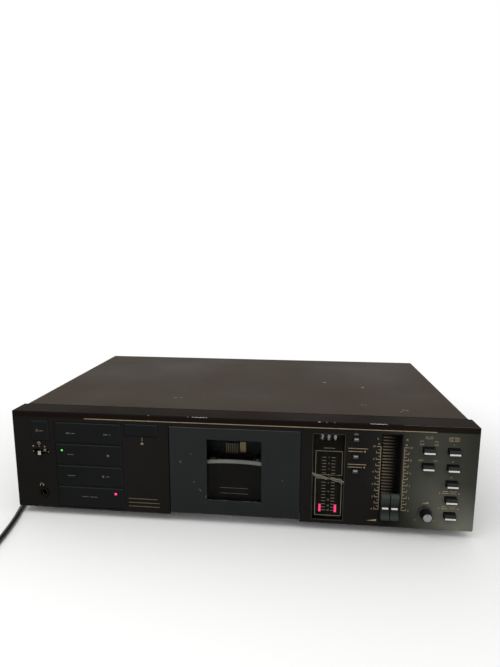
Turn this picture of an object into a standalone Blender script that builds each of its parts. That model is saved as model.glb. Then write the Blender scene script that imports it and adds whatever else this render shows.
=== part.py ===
"""Cassette deck of full component width, with a tilting door in front of an upright cassette well.

Lengths are in metres. The deck's own frame has X to the right, Y to the back and Z up. Its origin is at the
middle of the front face's bottom edge, and the empty deck_frame puts that frame on the floor, centred.
"""

import math

import bmesh
import bpy
from mathutils import Matrix, Vector

# Gaps
CLEARANCE = 0.0003
RUNNING_CLEARANCE = 0.0004
OVERRUN = 0.001
EMBED = 0.0004

# Roundness of turned pieces
ROUND_SIDES = 24
SMALL_SIDES = 12
COUNTER_SIDES = 20
SMOOTH_ANGLE_DEGREES = 35

# The cassette that the well takes
CASSETTE_WIDTH = 0.1004
CASSETTE_HEIGHT = 0.0638
CASSETTE_THICKNESS = 0.0120
CASSETTE_ROOM = 0.0005
HUB_SPACING = 0.0425
HUB_ABOVE_CASSETTE_BOTTOM = 0.0340
CAPSTAN_FROM_MIDDLE = 0.0305
CAPSTAN_ABOVE_CASSETTE_BOTTOM = 0.0065

# Front panel: the field of controls, and what lies below and above it
FIELD_BOTTOM = 0.0023
CASSETTE_ABOVE_FIELD_BOTTOM = 0.0147
FIELD_ABOVE_CASSETTE = 0.0078
TOP_BAND = 0.0094
PANEL_DEPTH = 0.0220
PANEL_PLATE = 0.0035
PANEL_WALL = 0.0020
PANEL_EDGE = 0.0008

# Columns of the panel, from its left end to its right end
LEFT_MARGIN = 0.0186
POWER_WIDTH = 0.0168
POWER_TO_KEYS = 0.0066
KEY_WIDTH = 0.0655
KEYS_TO_EJECT = 0.0032
EJECT_WIDTH = 0.0314
EJECT_TO_DOOR = 0.0109
DOOR_BORDER = 0.0091
DOOR_TO_LENS = 0.0104
LENS_WIDTH = 0.0299
LENS_TO_SMALL_BUTTONS = 0.0063
SMALL_BUTTON_WIDTH = 0.0050
SMALL_BUTTONS_TO_FADER = 0.0197
FADER_WIDTH = 0.0187
FADER_TO_NOISE = 0.0171
CAP_WIDTH = 0.0098
NOISE_TO_TAPE = 0.0116
RIGHT_MARGIN = 0.0167

# Power button and timer switch
POWER_HEIGHT = 0.0196
POWER_PROUD = 0.0006
POWER_TRAVEL = 0.0035
TIMER_SLOT_WIDTH = 0.0150
TIMER_SLOT_HEIGHT = 0.0050
TIMER_BELOW_POWER = 0.0112
TIMER_LEVER_WIDTH = 0.0030
TIMER_LEVER_HEIGHT = 0.0042
TIMER_LEVER_PROUD = 0.0035
TIMER_RUNNER_WIDTH = 0.0060
TIMER_RUNNER_HEIGHT = 0.0080
TIMER_RUNNER_DEPTH = 0.0020

# Headphone socket
JACK_ABOVE_FIELD_BOTTOM = 0.0137
JACK_BUSH_RADIUS = 0.0047
JACK_BORE_RADIUS = 0.00325
JACK_BORE_DEPTH = 0.0120
JACK_BODY_WIDTH = 0.0130
JACK_PROUD = 0.0010

# Transport keys, rocking on a rib behind their middle
KEY_ROWS = 4
KEY_GAP = 0.0006
KEY_PROUD = 0.0004
KEY_THICKNESS = 0.0045
KEY_ROCK_DEGREES = 1.6
KEY_EDGE = 0.0005
KEY_BOARD_DEPTH = 0.0158
BOARD_THICKNESS = 0.0016
SWITCH_WIDTH = 0.0060
SWITCH_HEIGHT = 0.0060
FULCRUM_WIDTH = 0.0020

# Eject button
EJECT_HEIGHT = 0.0112
EJECT_PROUD = 0.0008
EJECT_DEPTH = 0.0110

# Flanges that keep a button behind the panel
FLANGE = 0.0012

# Cassette door, its window and its hinge
DOOR_GAP = 0.0005
DOOR_THICKNESS = 0.0040
DOOR_EDGE = 0.0005
WINDOW_WIDTH = 0.0510
WINDOW_HEIGHT = 0.0603
WINDOW_ABOVE_FIELD_BOTTOM = 0.0144
WINDOW_LEDGE = 0.0020
WINDOW_LEDGE_DEPTH = 0.0016
WINDOW_SUNK = 0.0003
HINGE_DEPTH = 0.0090
HINGE_HEIGHT = 0.0060
HINGE_PIN_RADIUS = 0.0015
HINGE_EAR = 0.0020
HINGE_EAR_REACH = 0.0030
HINGE_LUG = 0.0030
HINGE_LUG_TOP = 0.0045

# Cassette holder on the door's back
HOLDER_WALL = 0.0012
HOLDER_FLANGE = 0.0060
HOLDER_SHELF = 0.0070
HOLDER_ABOVE_CASSETTE = 0.0032
HOLDER_FRONT_SIDE_SHARE = 0.5250
HOLDER_FRONT_RISE = 0.0045
HOLDER_ARCH_POINTS = 9

# Mechanism plate
PLATE_GAP = 0.0022
PLATE_THICKNESS = 0.0016
PLATE_TOP_SHARE = 0.94
SLIDE_PIN_RADIUS = 0.0015
SLIDE_PIN_LEFT = 0.0290
SLIDE_PIN_RIGHT = 0.0150
BRACKET_WALL = 0.0016

# Reels
REEL_SPINDLE_RADIUS = 0.0042
REEL_SPINDLE_FIN = 0.0012
REEL_SPINDLE_FINS = 3
REEL_SHAFT_RADIUS = 0.0027
REEL_GEAR_RADIUS = 0.0170
REEL_GEAR_THICKNESS = 0.0040
REEL_FRONT_DEPTH = 0.0088

# Capstan, flywheel and motor
CAPSTAN_RADIUS = 0.0012
CAPSTAN_FRONT_DEPTH = 0.0092
FLYWHEEL_RADIUS = 0.0190
FLYWHEEL_THICKNESS = 0.0100
FLYWHEEL_BEHIND_PLATE = 0.0060
FLYWHEEL_HUB = 0.0015
FLYWHEEL_HUB_RADIUS = 0.0036
BRIDGE_HEIGHT = 0.0190
BELT_WIDTH = 0.0040
BELT_THICKNESS = 0.0006
MOTOR_FROM_MIDDLE = 0.0350
MOTOR_RADIUS = 0.0150
MOTOR_LENGTH = 0.0260
MOTOR_SHAFT_DEPTH = 0.0087
MOTOR_BORE_DEPTH = 0.0130
MOTOR_BOSS_RADIUS = 0.0040
PULLEY_RADIUS = 0.0050
PULLEY_RIM = 0.0010
PULLEY_THICKNESS = 0.0070

# Pinch roller and arm
PINCH_RADIUS = 0.0060
PINCH_WIDTH = 0.0060
PINCH_AXLE_RADIUS = 0.0010
PINCH_PIVOT_RADIUS = 0.0015
PINCH_ARM_THICKNESS = 0.0016
PINCH_ARM_BORDER = 0.0018
PINCH_PIVOT_FROM_CAPSTAN = 0.0175
PINCH_PIVOT_HEIGHT = 0.0090

# Head slide
SLIDE_TRAVEL = 0.0070
SLIDE_THICKNESS = 0.0013
SLIDE_BOTTOM = 0.0032
SLIDE_TOP = 0.0188
SLIDE_BORDER = 0.0055
HEAD_WIDTH = 0.0140
HEAD_HEIGHT = 0.0082
HEAD_FRONT_DEPTH = 0.0076
ERASE_HEAD_WIDTH = 0.0080
ERASE_HEAD_FROM_MIDDLE = 0.0190
HEAD_BASE = 0.0018

# Display lens, meter and counter
LENS_THICKNESS = 0.0024
LENS_EDGE = 0.0004
LENS_MARGIN = 0.0010
METER_WIDTH = 0.0240
METER_BOTTOM_SHARE = 0.07
METER_TOP_SHARE = 0.80
METER_BEHIND_LENS = 0.0012
COUNTER_WHEELS = 3
COUNTER_PITCH = 0.0058
COUNTER_WHEEL_WIDTH = 0.0052
COUNTER_RADIUS = 0.0062
COUNTER_SHAFT_RADIUS = 0.0010
COUNTER_BELOW_FIELD_TOP = 0.0055
COUNTER_BRACKET = 0.0012
COUNTER_BRACKET_HEIGHT = 0.0060
COUNTER_BRACKET_REACH = 0.0020

# Small buttons
SMALL_BUTTON_HEIGHT = 0.0038
SMALL_BUTTON_PROUD = 0.0020
SMALL_BUTTON_DEPTH = 0.0066
SMALL_BUTTON_TRAVEL = 0.0012
SMALL_BUTTON_BELOW_TOP_SHARES = (0.062, 0.249, 0.409)

# Fader recess and sliders
FADER_MARGIN = 0.0032
FADER_ABOVE_FIELD = 0.0009
FADER_DEPTH = 0.0136
FADER_WALL = 0.0006
FADER_BACK = 0.0014
FADER_RIB_PITCH = 0.0030
FADER_RIB_HEIGHT = 0.0012
FADER_RIB_DEPTH = 0.0016
SLIDER_GAP = 0.0006
SLIDER_SIDE = 0.0006
SLIDER_HEIGHT = 0.0250
SLIDER_PROUD = 0.0065
SLIDER_IN_RECESS = 0.0060
SLIDER_DIP = 0.0025
SLIDER_DIP_POINTS = 7
SLIDER_STEM_WIDTH = 0.0016
SLIDER_STEM_FROM_WALL = 0.0015
SLIDER_STEM_HEIGHT = 0.0050
SLIDER_STEM_REACH = 0.0030
SLIDER_END_GAP = 0.0024

# Push buttons at the right
CAP_HEIGHT = 0.0054
CAP_PROUD = 0.0050
CAP_STEM_WIDTH = 0.0060
CAP_STEM_HEIGHT = 0.0040
CAP_STEM_DEPTH = 0.0100
CAP_TRAVEL = 0.0030
CAP_EDGE = 0.0004
TAPE_BUTTONS = 5
NOISE_BUTTONS = 2
BUTTON_PITCH = 0.0151
TAPE_BUTTON_ABOVE_FIELD_BOTTOM = 0.0129
NOISE_ROW_LIFT = 0.0003

# Output knob
KNOB_RADIUS = 0.0062
KNOB_FRONT_RADIUS = 0.0040
KNOB_SKIRT = 0.0030
KNOB_PROUD = 0.0105
KNOB_SHAFT_RADIUS = 0.0030
KNOB_EDGE = 0.0005
KNOB_LIFT = 0.0016
POT_SIZE = 0.0120

# Control board behind the right half of the panel
CONTROL_BOARD_DEPTH = 0.0185
CONTROL_BOARD_MARGIN = 0.0040

# Cover, chassis and rear panel
BODY_DEPTH = 0.2475
COVER_INSET = 0.0024
COVER_THICKNESS = 0.0010
COVER_BEND = 0.0025
COVER_BEND_POINTS = 4
COVER_ABOVE_PANEL_BOTTOM = 0.0015
CHASSIS_ABOVE_PANEL_BOTTOM = 0.0008
CHASSIS_THICKNESS = 0.0012
CHASSIS_FLANGE_HEIGHT = 0.0240
CHASSIS_SLOTS = 6
CHASSIS_SLOT_WIDTH = 0.0040
CHASSIS_SLOT_LENGTH = 0.0500
CHASSIS_SLOT_PITCH = 0.0120
CHASSIS_SLOT_FROM_MIDDLE = 0.0550
CHASSIS_SLOT_FROM_REAR = 0.0300
REAR_SUNK = 0.0022
REAR_THICKNESS = 0.0012
SCREW_HEAD_RADIUS = 0.0040
SCREW_HEAD_TOP_RADIUS = 0.0032
SCREW_HEAD_HEIGHT = 0.0022
SCREW_SHANK_RADIUS = 0.0018
SCREW_SHANK_LENGTH = 0.0070
SCREW_HEIGHT = 0.0140
SCREW_FRONT_SHARE = 0.25
SCREW_REAR_SHARE = 0.87

# Feet
FOOT_CLEARANCE = 0.0080
FOOT_RADIUS = 0.0140
FOOT_EDGE = 0.0010
FOOT_FROM_SIDE = 0.0450
FOOT_FRONT_DEPTH = 0.0450
FOOT_REAR_INSET = 0.0320

# Main board
STANDOFF_HEIGHT = 0.0057
STANDOFF_RADIUS = 0.0030
STANDOFF_INSET = 0.0080
MAIN_BOARD_WIDTH = 0.3000
MAIN_BOARD_LENGTH = 0.1300
MAIN_BOARD_GAP = 0.0020
MAIN_BOARD_SPARE_RIGHT_SHARE = 0.3065
MAIN_BOARD_FROM_REAR = 0.0180
CAPACITOR_RADIUS = 0.0080
CAPACITOR_HEIGHT = 0.0280
CAPACITORS = 4
CAPACITOR_PITCH = 0.0220
HEAT_SINK_LENGTH = 0.0600
HEAT_SINK_HEIGHT = 0.0320
HEAT_SINK_FINS = 6
HEAT_SINK_FIN = 0.0016
HEAT_SINK_FIN_REACH = 0.0100
HEAT_SINK_BACK = 0.0030

# Transformer
TRANSFORMER_WIDTH = 0.0480
TRANSFORMER_LENGTH = 0.0560
TRANSFORMER_HEIGHT = 0.0460
TRANSFORMER_CORE_SHARE = 0.36
TRANSFORMER_COIL_BORDER = 0.0070
TRANSFORMER_FROM_LEFT = 0.0160
TRANSFORMER_FROM_REAR = 0.0450

# Phono jacks
PHONO_JACKS = 4
PHONO_RADIUS = 0.0042
PHONO_BORE_RADIUS = 0.0017
PHONO_PITCH = 0.0160
PHONO_LENGTH = 0.0090
PHONO_BLOCK_HEIGHT = 0.0140
PHONO_BLOCK_DEPTH = 0.0120
PHONO_FROM_RIGHT = 0.0520
PHONO_HEIGHT = 0.0450

# Mains lead
CORD_DIAMETER = 0.0046
GLAND_FROM_LEFT = 0.0420
GLAND_HEIGHT = 0.0250
GLAND_RADIUS = 0.0055
GLAND_COLLAR_RADIUS = 0.0080
GLAND_COLLAR = 0.0020
RELIEF_LENGTH = 0.0240
RELIEF_END_RADIUS = 0.0034
CORD_POINT_SPACING = 0.0115
CORD_LEAD = 0.0080
SMOOTHING_STEPS = 40
COIL_TURN_GAP = 0.00048
COIL_LAYER_TURNS = 3.5
COIL_CLIMB_TURNS = 0.5
COIL_MIDDLE_RADIUS = 0.0276
COIL_LOOP_POINTS = 24
COIL_CENTRE = (-0.2400, -0.2223)
FLOOR_GAP = 0.0002

# Route of the free lead over the floor, in the frame of the whole deck on its floor
CORD_ROUTE = (
    (-0.1700, 0.1695, 0.0305),
    (-0.1780, 0.1770, 0.0245),
    (-0.1890, 0.1785, 0.0165),
    (-0.2000, 0.1730, 0.0092),
    (-0.2095, 0.1620, 0.0044),
    (-0.2170, 0.1470, 0.0026),
    (-0.2230, 0.1280, 0.0025),
    (-0.2280, 0.1050, 0.0025),
    (-0.2325, 0.0700, 0.0025),
    (-0.2345, 0.0200, 0.0025),
    (-0.2330, -0.0300, 0.0025),
    (-0.2265, -0.0760, 0.0025),
    (-0.2180, -0.1105, 0.0025),
    (-0.2100, -0.1400, 0.0025),
    (-0.2045, -0.1710, 0.0025),
    (-0.2027, -0.1950, 0.0025),
)

# Mains plug
PLUG_RELIEF_LENGTH = 0.0240
PLUG_RELIEF_START_RADIUS = 0.00242
PLUG_RELIEF_END_RADIUS = 0.0040
PLUG_LENGTH = 0.0360
PLUG_REAR_WIDTH = 0.0130
PLUG_WIDTH = 0.0330
PLUG_THICKNESS = 0.0137
PLUG_TAPER_SHARE = 0.45
PLUG_EDGE = 0.0015
PIN_LENGTH = 0.0190
PIN_RADIUS = 0.0020
PIN_SPACING = 0.0186

# Sizes that follow from those above
HOLDER_WIDTH = CASSETTE_WIDTH + 2 * (CASSETTE_ROOM + HOLDER_WALL)
DOOR_WIDTH = HOLDER_WIDTH + 2 * DOOR_BORDER
PANEL_COLUMNS = (
    LEFT_MARGIN, POWER_WIDTH, POWER_TO_KEYS, KEY_WIDTH, KEYS_TO_EJECT, EJECT_WIDTH, EJECT_TO_DOOR,
    DOOR_WIDTH, DOOR_TO_LENS, LENS_WIDTH, LENS_TO_SMALL_BUTTONS, SMALL_BUTTON_WIDTH,
    SMALL_BUTTONS_TO_FADER, FADER_WIDTH, FADER_TO_NOISE, CAP_WIDTH, NOISE_TO_TAPE, CAP_WIDTH, RIGHT_MARGIN,
)
PANEL_WIDTH = sum(PANEL_COLUMNS)
HALF_PANEL = PANEL_WIDTH / 2
CASSETTE_BOTTOM = FIELD_BOTTOM + CASSETTE_ABOVE_FIELD_BOTTOM
CASSETTE_TOP = CASSETTE_BOTTOM + CASSETTE_HEIGHT
FIELD_TOP = CASSETTE_TOP + FIELD_ABOVE_CASSETTE
FIELD_HEIGHT = FIELD_TOP - FIELD_BOTTOM
PANEL_HEIGHT = FIELD_TOP + TOP_BAND
KEY_PITCH = FIELD_HEIGHT / KEY_ROWS


def column(number):
    """Left and right side of one column of the panel, counted from 0 at the left."""
    left = sum(PANEL_COLUMNS[:number]) - HALF_PANEL
    return left, left + PANEL_COLUMNS[number]


def middle(pair):
    return sum(pair) / 2


POWER_X = middle(column(1))
KEY_X = middle(column(3))
EJECT_X = middle(column(5))
WELL_X = middle(column(7))
LENS_X = middle(column(9))
SMALL_BUTTON_X = middle(column(11))
FADER_X = middle(column(13))
NOISE_X = middle(column(15))
TAPE_X = middle(column(17))

POWER_Z = FIELD_TOP - POWER_HEIGHT / 2
TIMER_Z = POWER_Z - POWER_HEIGHT / 2 - TIMER_BELOW_POWER
JACK_Z = FIELD_BOTTOM + JACK_ABOVE_FIELD_BOTTOM
EJECT_Z = FIELD_TOP - EJECT_HEIGHT / 2
COUNTER_Z = FIELD_TOP - COUNTER_BELOW_FIELD_TOP
KNOB_Z = FIELD_BOTTOM + TAPE_BUTTON_ABOVE_FIELD_BOTTOM + KNOB_LIFT

FLANGE_DEPTH = PANEL_PLATE + CLEARANCE
WINDOW_BOTTOM = FIELD_BOTTOM + WINDOW_ABOVE_FIELD_BOTTOM
WINDOW_TOP = WINDOW_BOTTOM + WINDOW_HEIGHT

HOLDER_FRONT = DOOR_THICKNESS + CLEARANCE
POCKET_FRONT = HOLDER_FRONT + HOLDER_WALL
POCKET_REAR = POCKET_FRONT + CASSETTE_THICKNESS + CASSETTE_ROOM
HOLDER_REAR = POCKET_REAR + HOLDER_WALL
HOLDER_BOTTOM = CASSETTE_BOTTOM - CASSETTE_ROOM - HOLDER_WALL
HOLDER_TOP = CASSETTE_TOP + HOLDER_ABOVE_CASSETTE

PLATE_FRONT = HOLDER_REAR + PLATE_GAP
PLATE_REAR = PLATE_FRONT + PLATE_THICKNESS
PLATE_HALF = DOOR_WIDTH / 2 + HINGE_EAR_REACH
CHASSIS_TOP = CHASSIS_ABOVE_PANEL_BOTTOM + CHASSIS_THICKNESS
PLATE_BOTTOM = CHASSIS_TOP + CLEARANCE
PLATE_TOP = FIELD_TOP * PLATE_TOP_SHARE
HUB_Z = CASSETTE_BOTTOM + HUB_ABOVE_CASSETTE_BOTTOM
SUPPLY_X = WELL_X - HUB_SPACING / 2
TAKEUP_X = WELL_X + HUB_SPACING / 2
CAPSTAN_X = WELL_X + CAPSTAN_FROM_MIDDLE
CAPSTAN_Z = CASSETTE_BOTTOM + CAPSTAN_ABOVE_CASSETTE_BOTTOM
FLYWHEEL_FRONT = PLATE_REAR + FLYWHEEL_BEHIND_PLATE
FLYWHEEL_REAR = FLYWHEEL_FRONT + FLYWHEEL_THICKNESS
THRUST_DEPTH = FLYWHEEL_REAR + FLYWHEEL_HUB + CLEARANCE
BELT_MIDDLE = (FLYWHEEL_FRONT + FLYWHEEL_REAR) / 2
MOTOR_X = WELL_X - MOTOR_FROM_MIDDLE
MOTOR_Z = CAPSTAN_Z
MOTOR_BRACKET_FRONT = BELT_MIDDLE + PULLEY_THICKNESS / 2 + RUNNING_CLEARANCE
MOTOR_FRONT = MOTOR_BRACKET_FRONT + BRACKET_WALL + CLEARANCE
PINCH_DEPTH = POCKET_FRONT + (CASSETTE_THICKNESS - PINCH_WIDTH) / 2
PINCH_ARM_FRONT = PINCH_DEPTH + PINCH_WIDTH + RUNNING_CLEARANCE
PIVOT_X = CAPSTAN_X + PINCH_PIVOT_FROM_CAPSTAN
PINCH_ENGAGED_Z = CAPSTAN_Z - CAPSTAN_RADIUS - PINCH_RADIUS - RUNNING_CLEARANCE
PINCH_ARM_LENGTH = math.hypot(PINCH_PIVOT_FROM_CAPSTAN, PINCH_ENGAGED_Z - PINCH_PIVOT_HEIGHT)
PINCH_X = PIVOT_X - PINCH_ARM_LENGTH
SLIDE_REAR = PLATE_FRONT - CLEARANCE
SLIDE_FRONT = SLIDE_REAR - SLIDE_THICKNESS

FADER_BOTTOM = FIELD_BOTTOM + FADER_MARGIN
FADER_TOP = FIELD_TOP + FADER_ABOVE_FIELD
SLIDER_WIDTH = (FADER_WIDTH - 2 * (CLEARANCE + FADER_WALL + SLIDER_SIDE) - SLIDER_GAP) / 2
SLIDER_OFFSET = (SLIDER_WIDTH + SLIDER_GAP) / 2
SLIDER_STEM_OFFSET = FADER_WIDTH / 2 - CLEARANCE - FADER_WALL - SLIDER_STEM_FROM_WALL
SLIDER_BOTTOM = FADER_BOTTOM + CLEARANCE + FADER_WALL + SLIDER_END_GAP

COVER_SIDE = HALF_PANEL - COVER_INSET
COVER_FRONT = PANEL_DEPTH + CLEARANCE
CHASSIS_SIDE = COVER_SIDE - COVER_THICKNESS - CLEARANCE
REAR_OUTER = BODY_DEPTH - REAR_SUNK
REAR_INNER = REAR_OUTER - REAR_THICKNESS
CHASSIS_REAR = REAR_INNER - CLEARANCE
JACKS_REAR = REAR_OUTER + PHONO_LENGTH
FACE_Y = (KNOB_PROUD - JACKS_REAR) / 2
BOARD_BOTTOM = CHASSIS_TOP + STANDOFF_HEIGHT + CLEARANCE
BOARD_TOP = BOARD_BOTTOM + BOARD_THICKNESS
TRANSFORMER_LEFT = -CHASSIS_SIDE + CHASSIS_THICKNESS + TRANSFORMER_FROM_LEFT
BOARD_ROOM_LEFT = TRANSFORMER_LEFT + TRANSFORMER_WIDTH + MAIN_BOARD_GAP
BOARD_ROOM_RIGHT = CHASSIS_SIDE - CHASSIS_THICKNESS - MAIN_BOARD_GAP
BOARD_SPARE = BOARD_ROOM_RIGHT - BOARD_ROOM_LEFT - MAIN_BOARD_WIDTH
BOARD_RIGHT = BOARD_ROOM_RIGHT - BOARD_SPARE * MAIN_BOARD_SPARE_RIGHT_SHARE
BOARD_LEFT = BOARD_RIGHT - MAIN_BOARD_WIDTH
BOARD_REAR = CHASSIS_REAR - MAIN_BOARD_FROM_REAR
BOARD_FRONT = BOARD_REAR - MAIN_BOARD_LENGTH
GLAND_X = -CHASSIS_SIDE + GLAND_FROM_LEFT
PHONO_X = CHASSIS_SIDE - PHONO_FROM_RIGHT
CORD_RADIUS = CORD_DIAMETER / 2


# Scene and materials

def clear_scene():
    for old in list(bpy.data.objects):
        bpy.data.objects.remove(old, do_unlink=True)


def material(name, colour, roughness, metallic=0.0):
    """Principled finish, with its colour as linear red, green and blue."""
    made = bpy.data.materials.new(name)
    made.use_nodes = True
    shader = made.node_tree.nodes["Principled BSDF"]
    shader.inputs["Base Color"].default_value = (*colour, 1.0)
    shader.inputs["Roughness"].default_value = roughness
    shader.inputs["Metallic"].default_value = metallic
    made.diffuse_color = (*colour, 1.0)
    return made


clear_scene()
DECK_FRAME = bpy.data.objects.new("deck_frame", None)
DECK_FRAME.location = (0, FACE_Y, FOOT_CLEARANCE)
bpy.context.scene.collection.objects.link(DECK_FRAME)

BLACK_PANEL = material("black painted panel", (0.012, 0.011, 0.010), 0.42)
BLACK_MOULDING = material("black moulded ABS", (0.010, 0.010, 0.010), 0.38)
COVER_PAINT = material("dark painted steel", (0.046, 0.038, 0.032), 0.5)
ZINC_STEEL = material("zinc plated steel", (0.42, 0.41, 0.38), 0.38, 0.9)
BRIGHT_STEEL = material("ground steel", (0.60, 0.60, 0.60), 0.22, 1.0)
BRASS = material("brass", (0.50, 0.33, 0.14), 0.35, 1.0)
CLEAR_SMOKE = material("smoked acrylic", (0.020, 0.018, 0.016), 0.08)
GREY_MOULDING = material("dark grey moulding", (0.026, 0.024, 0.020), 0.45)
BLACK_ACETAL = material("black acetal", (0.014, 0.014, 0.013), 0.4)
RUBBER = material("black rubber", (0.012, 0.012, 0.012), 0.75)
BOARD_GREEN = material("circuit board", (0.12, 0.09, 0.03), 0.5)
IRON = material("transformer iron", (0.10, 0.09, 0.08), 0.55, 0.6)
PVC = material("black PVC", (0.014, 0.014, 0.014), 0.5)


# Shapes

def link(name, mesh):
    made = bpy.data.objects.new(name, mesh)
    bpy.context.scene.collection.objects.link(made)
    made.parent = DECK_FRAME
    return made


def from_bmesh(name, work):
    bmesh.ops.recalc_face_normals(work, faces=work.faces)
    mesh = bpy.data.meshes.new(name)
    work.to_mesh(mesh)
    work.free()
    return link(name, mesh)


def add_box(work, low, high):
    size = Vector(high) - Vector(low)
    place = Matrix.Translation((Vector(low) + Vector(high)) / 2) @ Matrix.Diagonal((*size, 1))
    bmesh.ops.create_cube(work, size=1, matrix=place)


def boxes(name, corners):
    """One object made of a box for each pair of low and high corners."""
    work = bmesh.new()
    for low, high in corners:
        add_box(work, low, high)
    return from_bmesh(name, work)


def box(name, low, high):
    return boxes(name, [(low, high)])


def add_rod(work, start, end, radius, end_radius, sides):
    along = Vector(end) - Vector(start)
    turn = along.to_track_quat("Z", "Y").to_matrix().to_4x4()
    place = Matrix.Translation((Vector(start) + Vector(end)) / 2) @ turn
    bmesh.ops.create_cone(
        work, cap_ends=True, segments=sides, radius1=radius, radius2=end_radius, depth=along.length,
        matrix=place,
    )


def rods(name, ends, radius, sides=SMALL_SIDES):
    """One object made of a round rod for each pair of end points."""
    work = bmesh.new()
    for start, end in ends:
        add_rod(work, start, end, radius, radius, sides)
    return from_bmesh(name, work)


def rod(name, start, end, radius, sides=SMALL_SIDES):
    return rods(name, [(start, end)], radius, sides)


def cone(name, start, end, radius, end_radius, sides=ROUND_SIDES):
    work = bmesh.new()
    add_rod(work, start, end, radius, end_radius, sides)
    return from_bmesh(name, work)


def prism(name, outline, low, high, point):
    """The outline carried from low to high. The function point turns a, b and the way into x, y, z."""
    work = bmesh.new()
    ends = [[work.verts.new(point(a, b, along)) for a, b in outline] for along in (low, high)]
    work.faces.new(ends[0])
    work.faces.new(ends[1])
    for here in range(len(outline)):
        after = (here + 1) % len(outline)
        work.faces.new((ends[0][here], ends[0][after], ends[1][after], ends[1][here]))
    return from_bmesh(name, work)


def upright(x, z, along):
    """Carries a prism's outline along Y."""
    return x, along, z


def sideways(y, z, along):
    """Carries a prism's outline along X."""
    return along, y, z


def turned(name, profile, place, sides=ROUND_SIDES):
    """A solid of revolution: profile holds (radius, depth) pairs, with its first and last radius zero."""
    work = bmesh.new()
    rings = []
    for radius, depth in profile:
        if radius == 0:
            rings.append([work.verts.new(place(0, 0, depth))])
            continue
        angles = [2 * math.pi * side / sides for side in range(sides)]
        rings.append([
            work.verts.new(place(radius * math.cos(angle), radius * math.sin(angle), depth))
            for angle in angles
        ])
    for near, far in zip(rings, rings[1:]):
        for side in range(sides):
            after = (side + 1) % sides
            near_pair = (near[side % len(near)], near[after % len(near)])
            far_pair = (far[after % len(far)], far[side % len(far)])
            corners = near_pair + far_pair
            work.faces.new(list(dict.fromkeys(corners)))
    return from_bmesh(name, work)


def across(x, z):
    """Places a turned profile on an axis along Y through x and z."""
    return lambda a, b, depth: (x + a, depth, z + b)


def use_boolean(target, other, operation):
    modifier = target.modifiers.new(other.name, "BOOLEAN")
    modifier.operation = operation
    modifier.object = other
    other.hide_render = True
    other.display_type = "WIRE"


def fuse(target, *others):
    for other in others:
        use_boolean(target, other, "UNION")


def cut(target, *others):
    for other in others:
        use_boolean(target, other, "DIFFERENCE")


def round_edges(target, width, segments=1):
    modifier = target.modifiers.new("edges", "BEVEL")
    modifier.width = width
    modifier.segments = segments
    modifier.limit_method = "ANGLE"


def finish(target, surface, axis_point=None):
    """Gives the piece its surface and, if it moves, its origin on the joint's axis."""
    target.data.materials.append(surface)
    if target.type == "MESH":
        target.data.shade_smooth()
        target.data.set_sharp_from_angle(angle=math.radians(SMOOTH_ANGLE_DEGREES))
    if axis_point is not None:
        target.data.transform(Matrix.Translation(-Vector(axis_point)))
        target.location = axis_point
    return target


def arc(centre_a, centre_b, radius, start_degrees, end_degrees, points):
    """Points of an arc, both ends included."""
    angles = [
        math.radians(start_degrees + (end_degrees - start_degrees) * step / (points - 1))
        for step in range(points)
    ]
    return [(centre_a + radius * math.cos(angle), centre_b + radius * math.sin(angle)) for angle in angles]


def face_hole(x, z, width, height, gap):
    """Corners of a cutter through the panel's front plate."""
    half_width = width / 2 + gap
    half_height = height / 2 + gap
    return (
        (x - half_width, -OVERRUN, z - half_height),
        (x + half_width, PANEL_PLATE + OVERRUN, z + half_height),
    )


def small_button_heights():
    return [FIELD_TOP - FIELD_HEIGHT * share for share in SMALL_BUTTON_BELOW_TOP_SHARES]


def button_row_height(row):
    return FIELD_BOTTOM + TAPE_BUTTON_ABOVE_FIELD_BOTTOM + BUTTON_PITCH * row


def tape_button_heights():
    return [button_row_height(row) for row in range(TAPE_BUTTONS)]


def noise_button_heights():
    rows = range(TAPE_BUTTONS - NOISE_BUTTONS, TAPE_BUTTONS)
    return [button_row_height(row) + NOISE_ROW_LIFT for row in rows]


# Front panel and the shells

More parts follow.
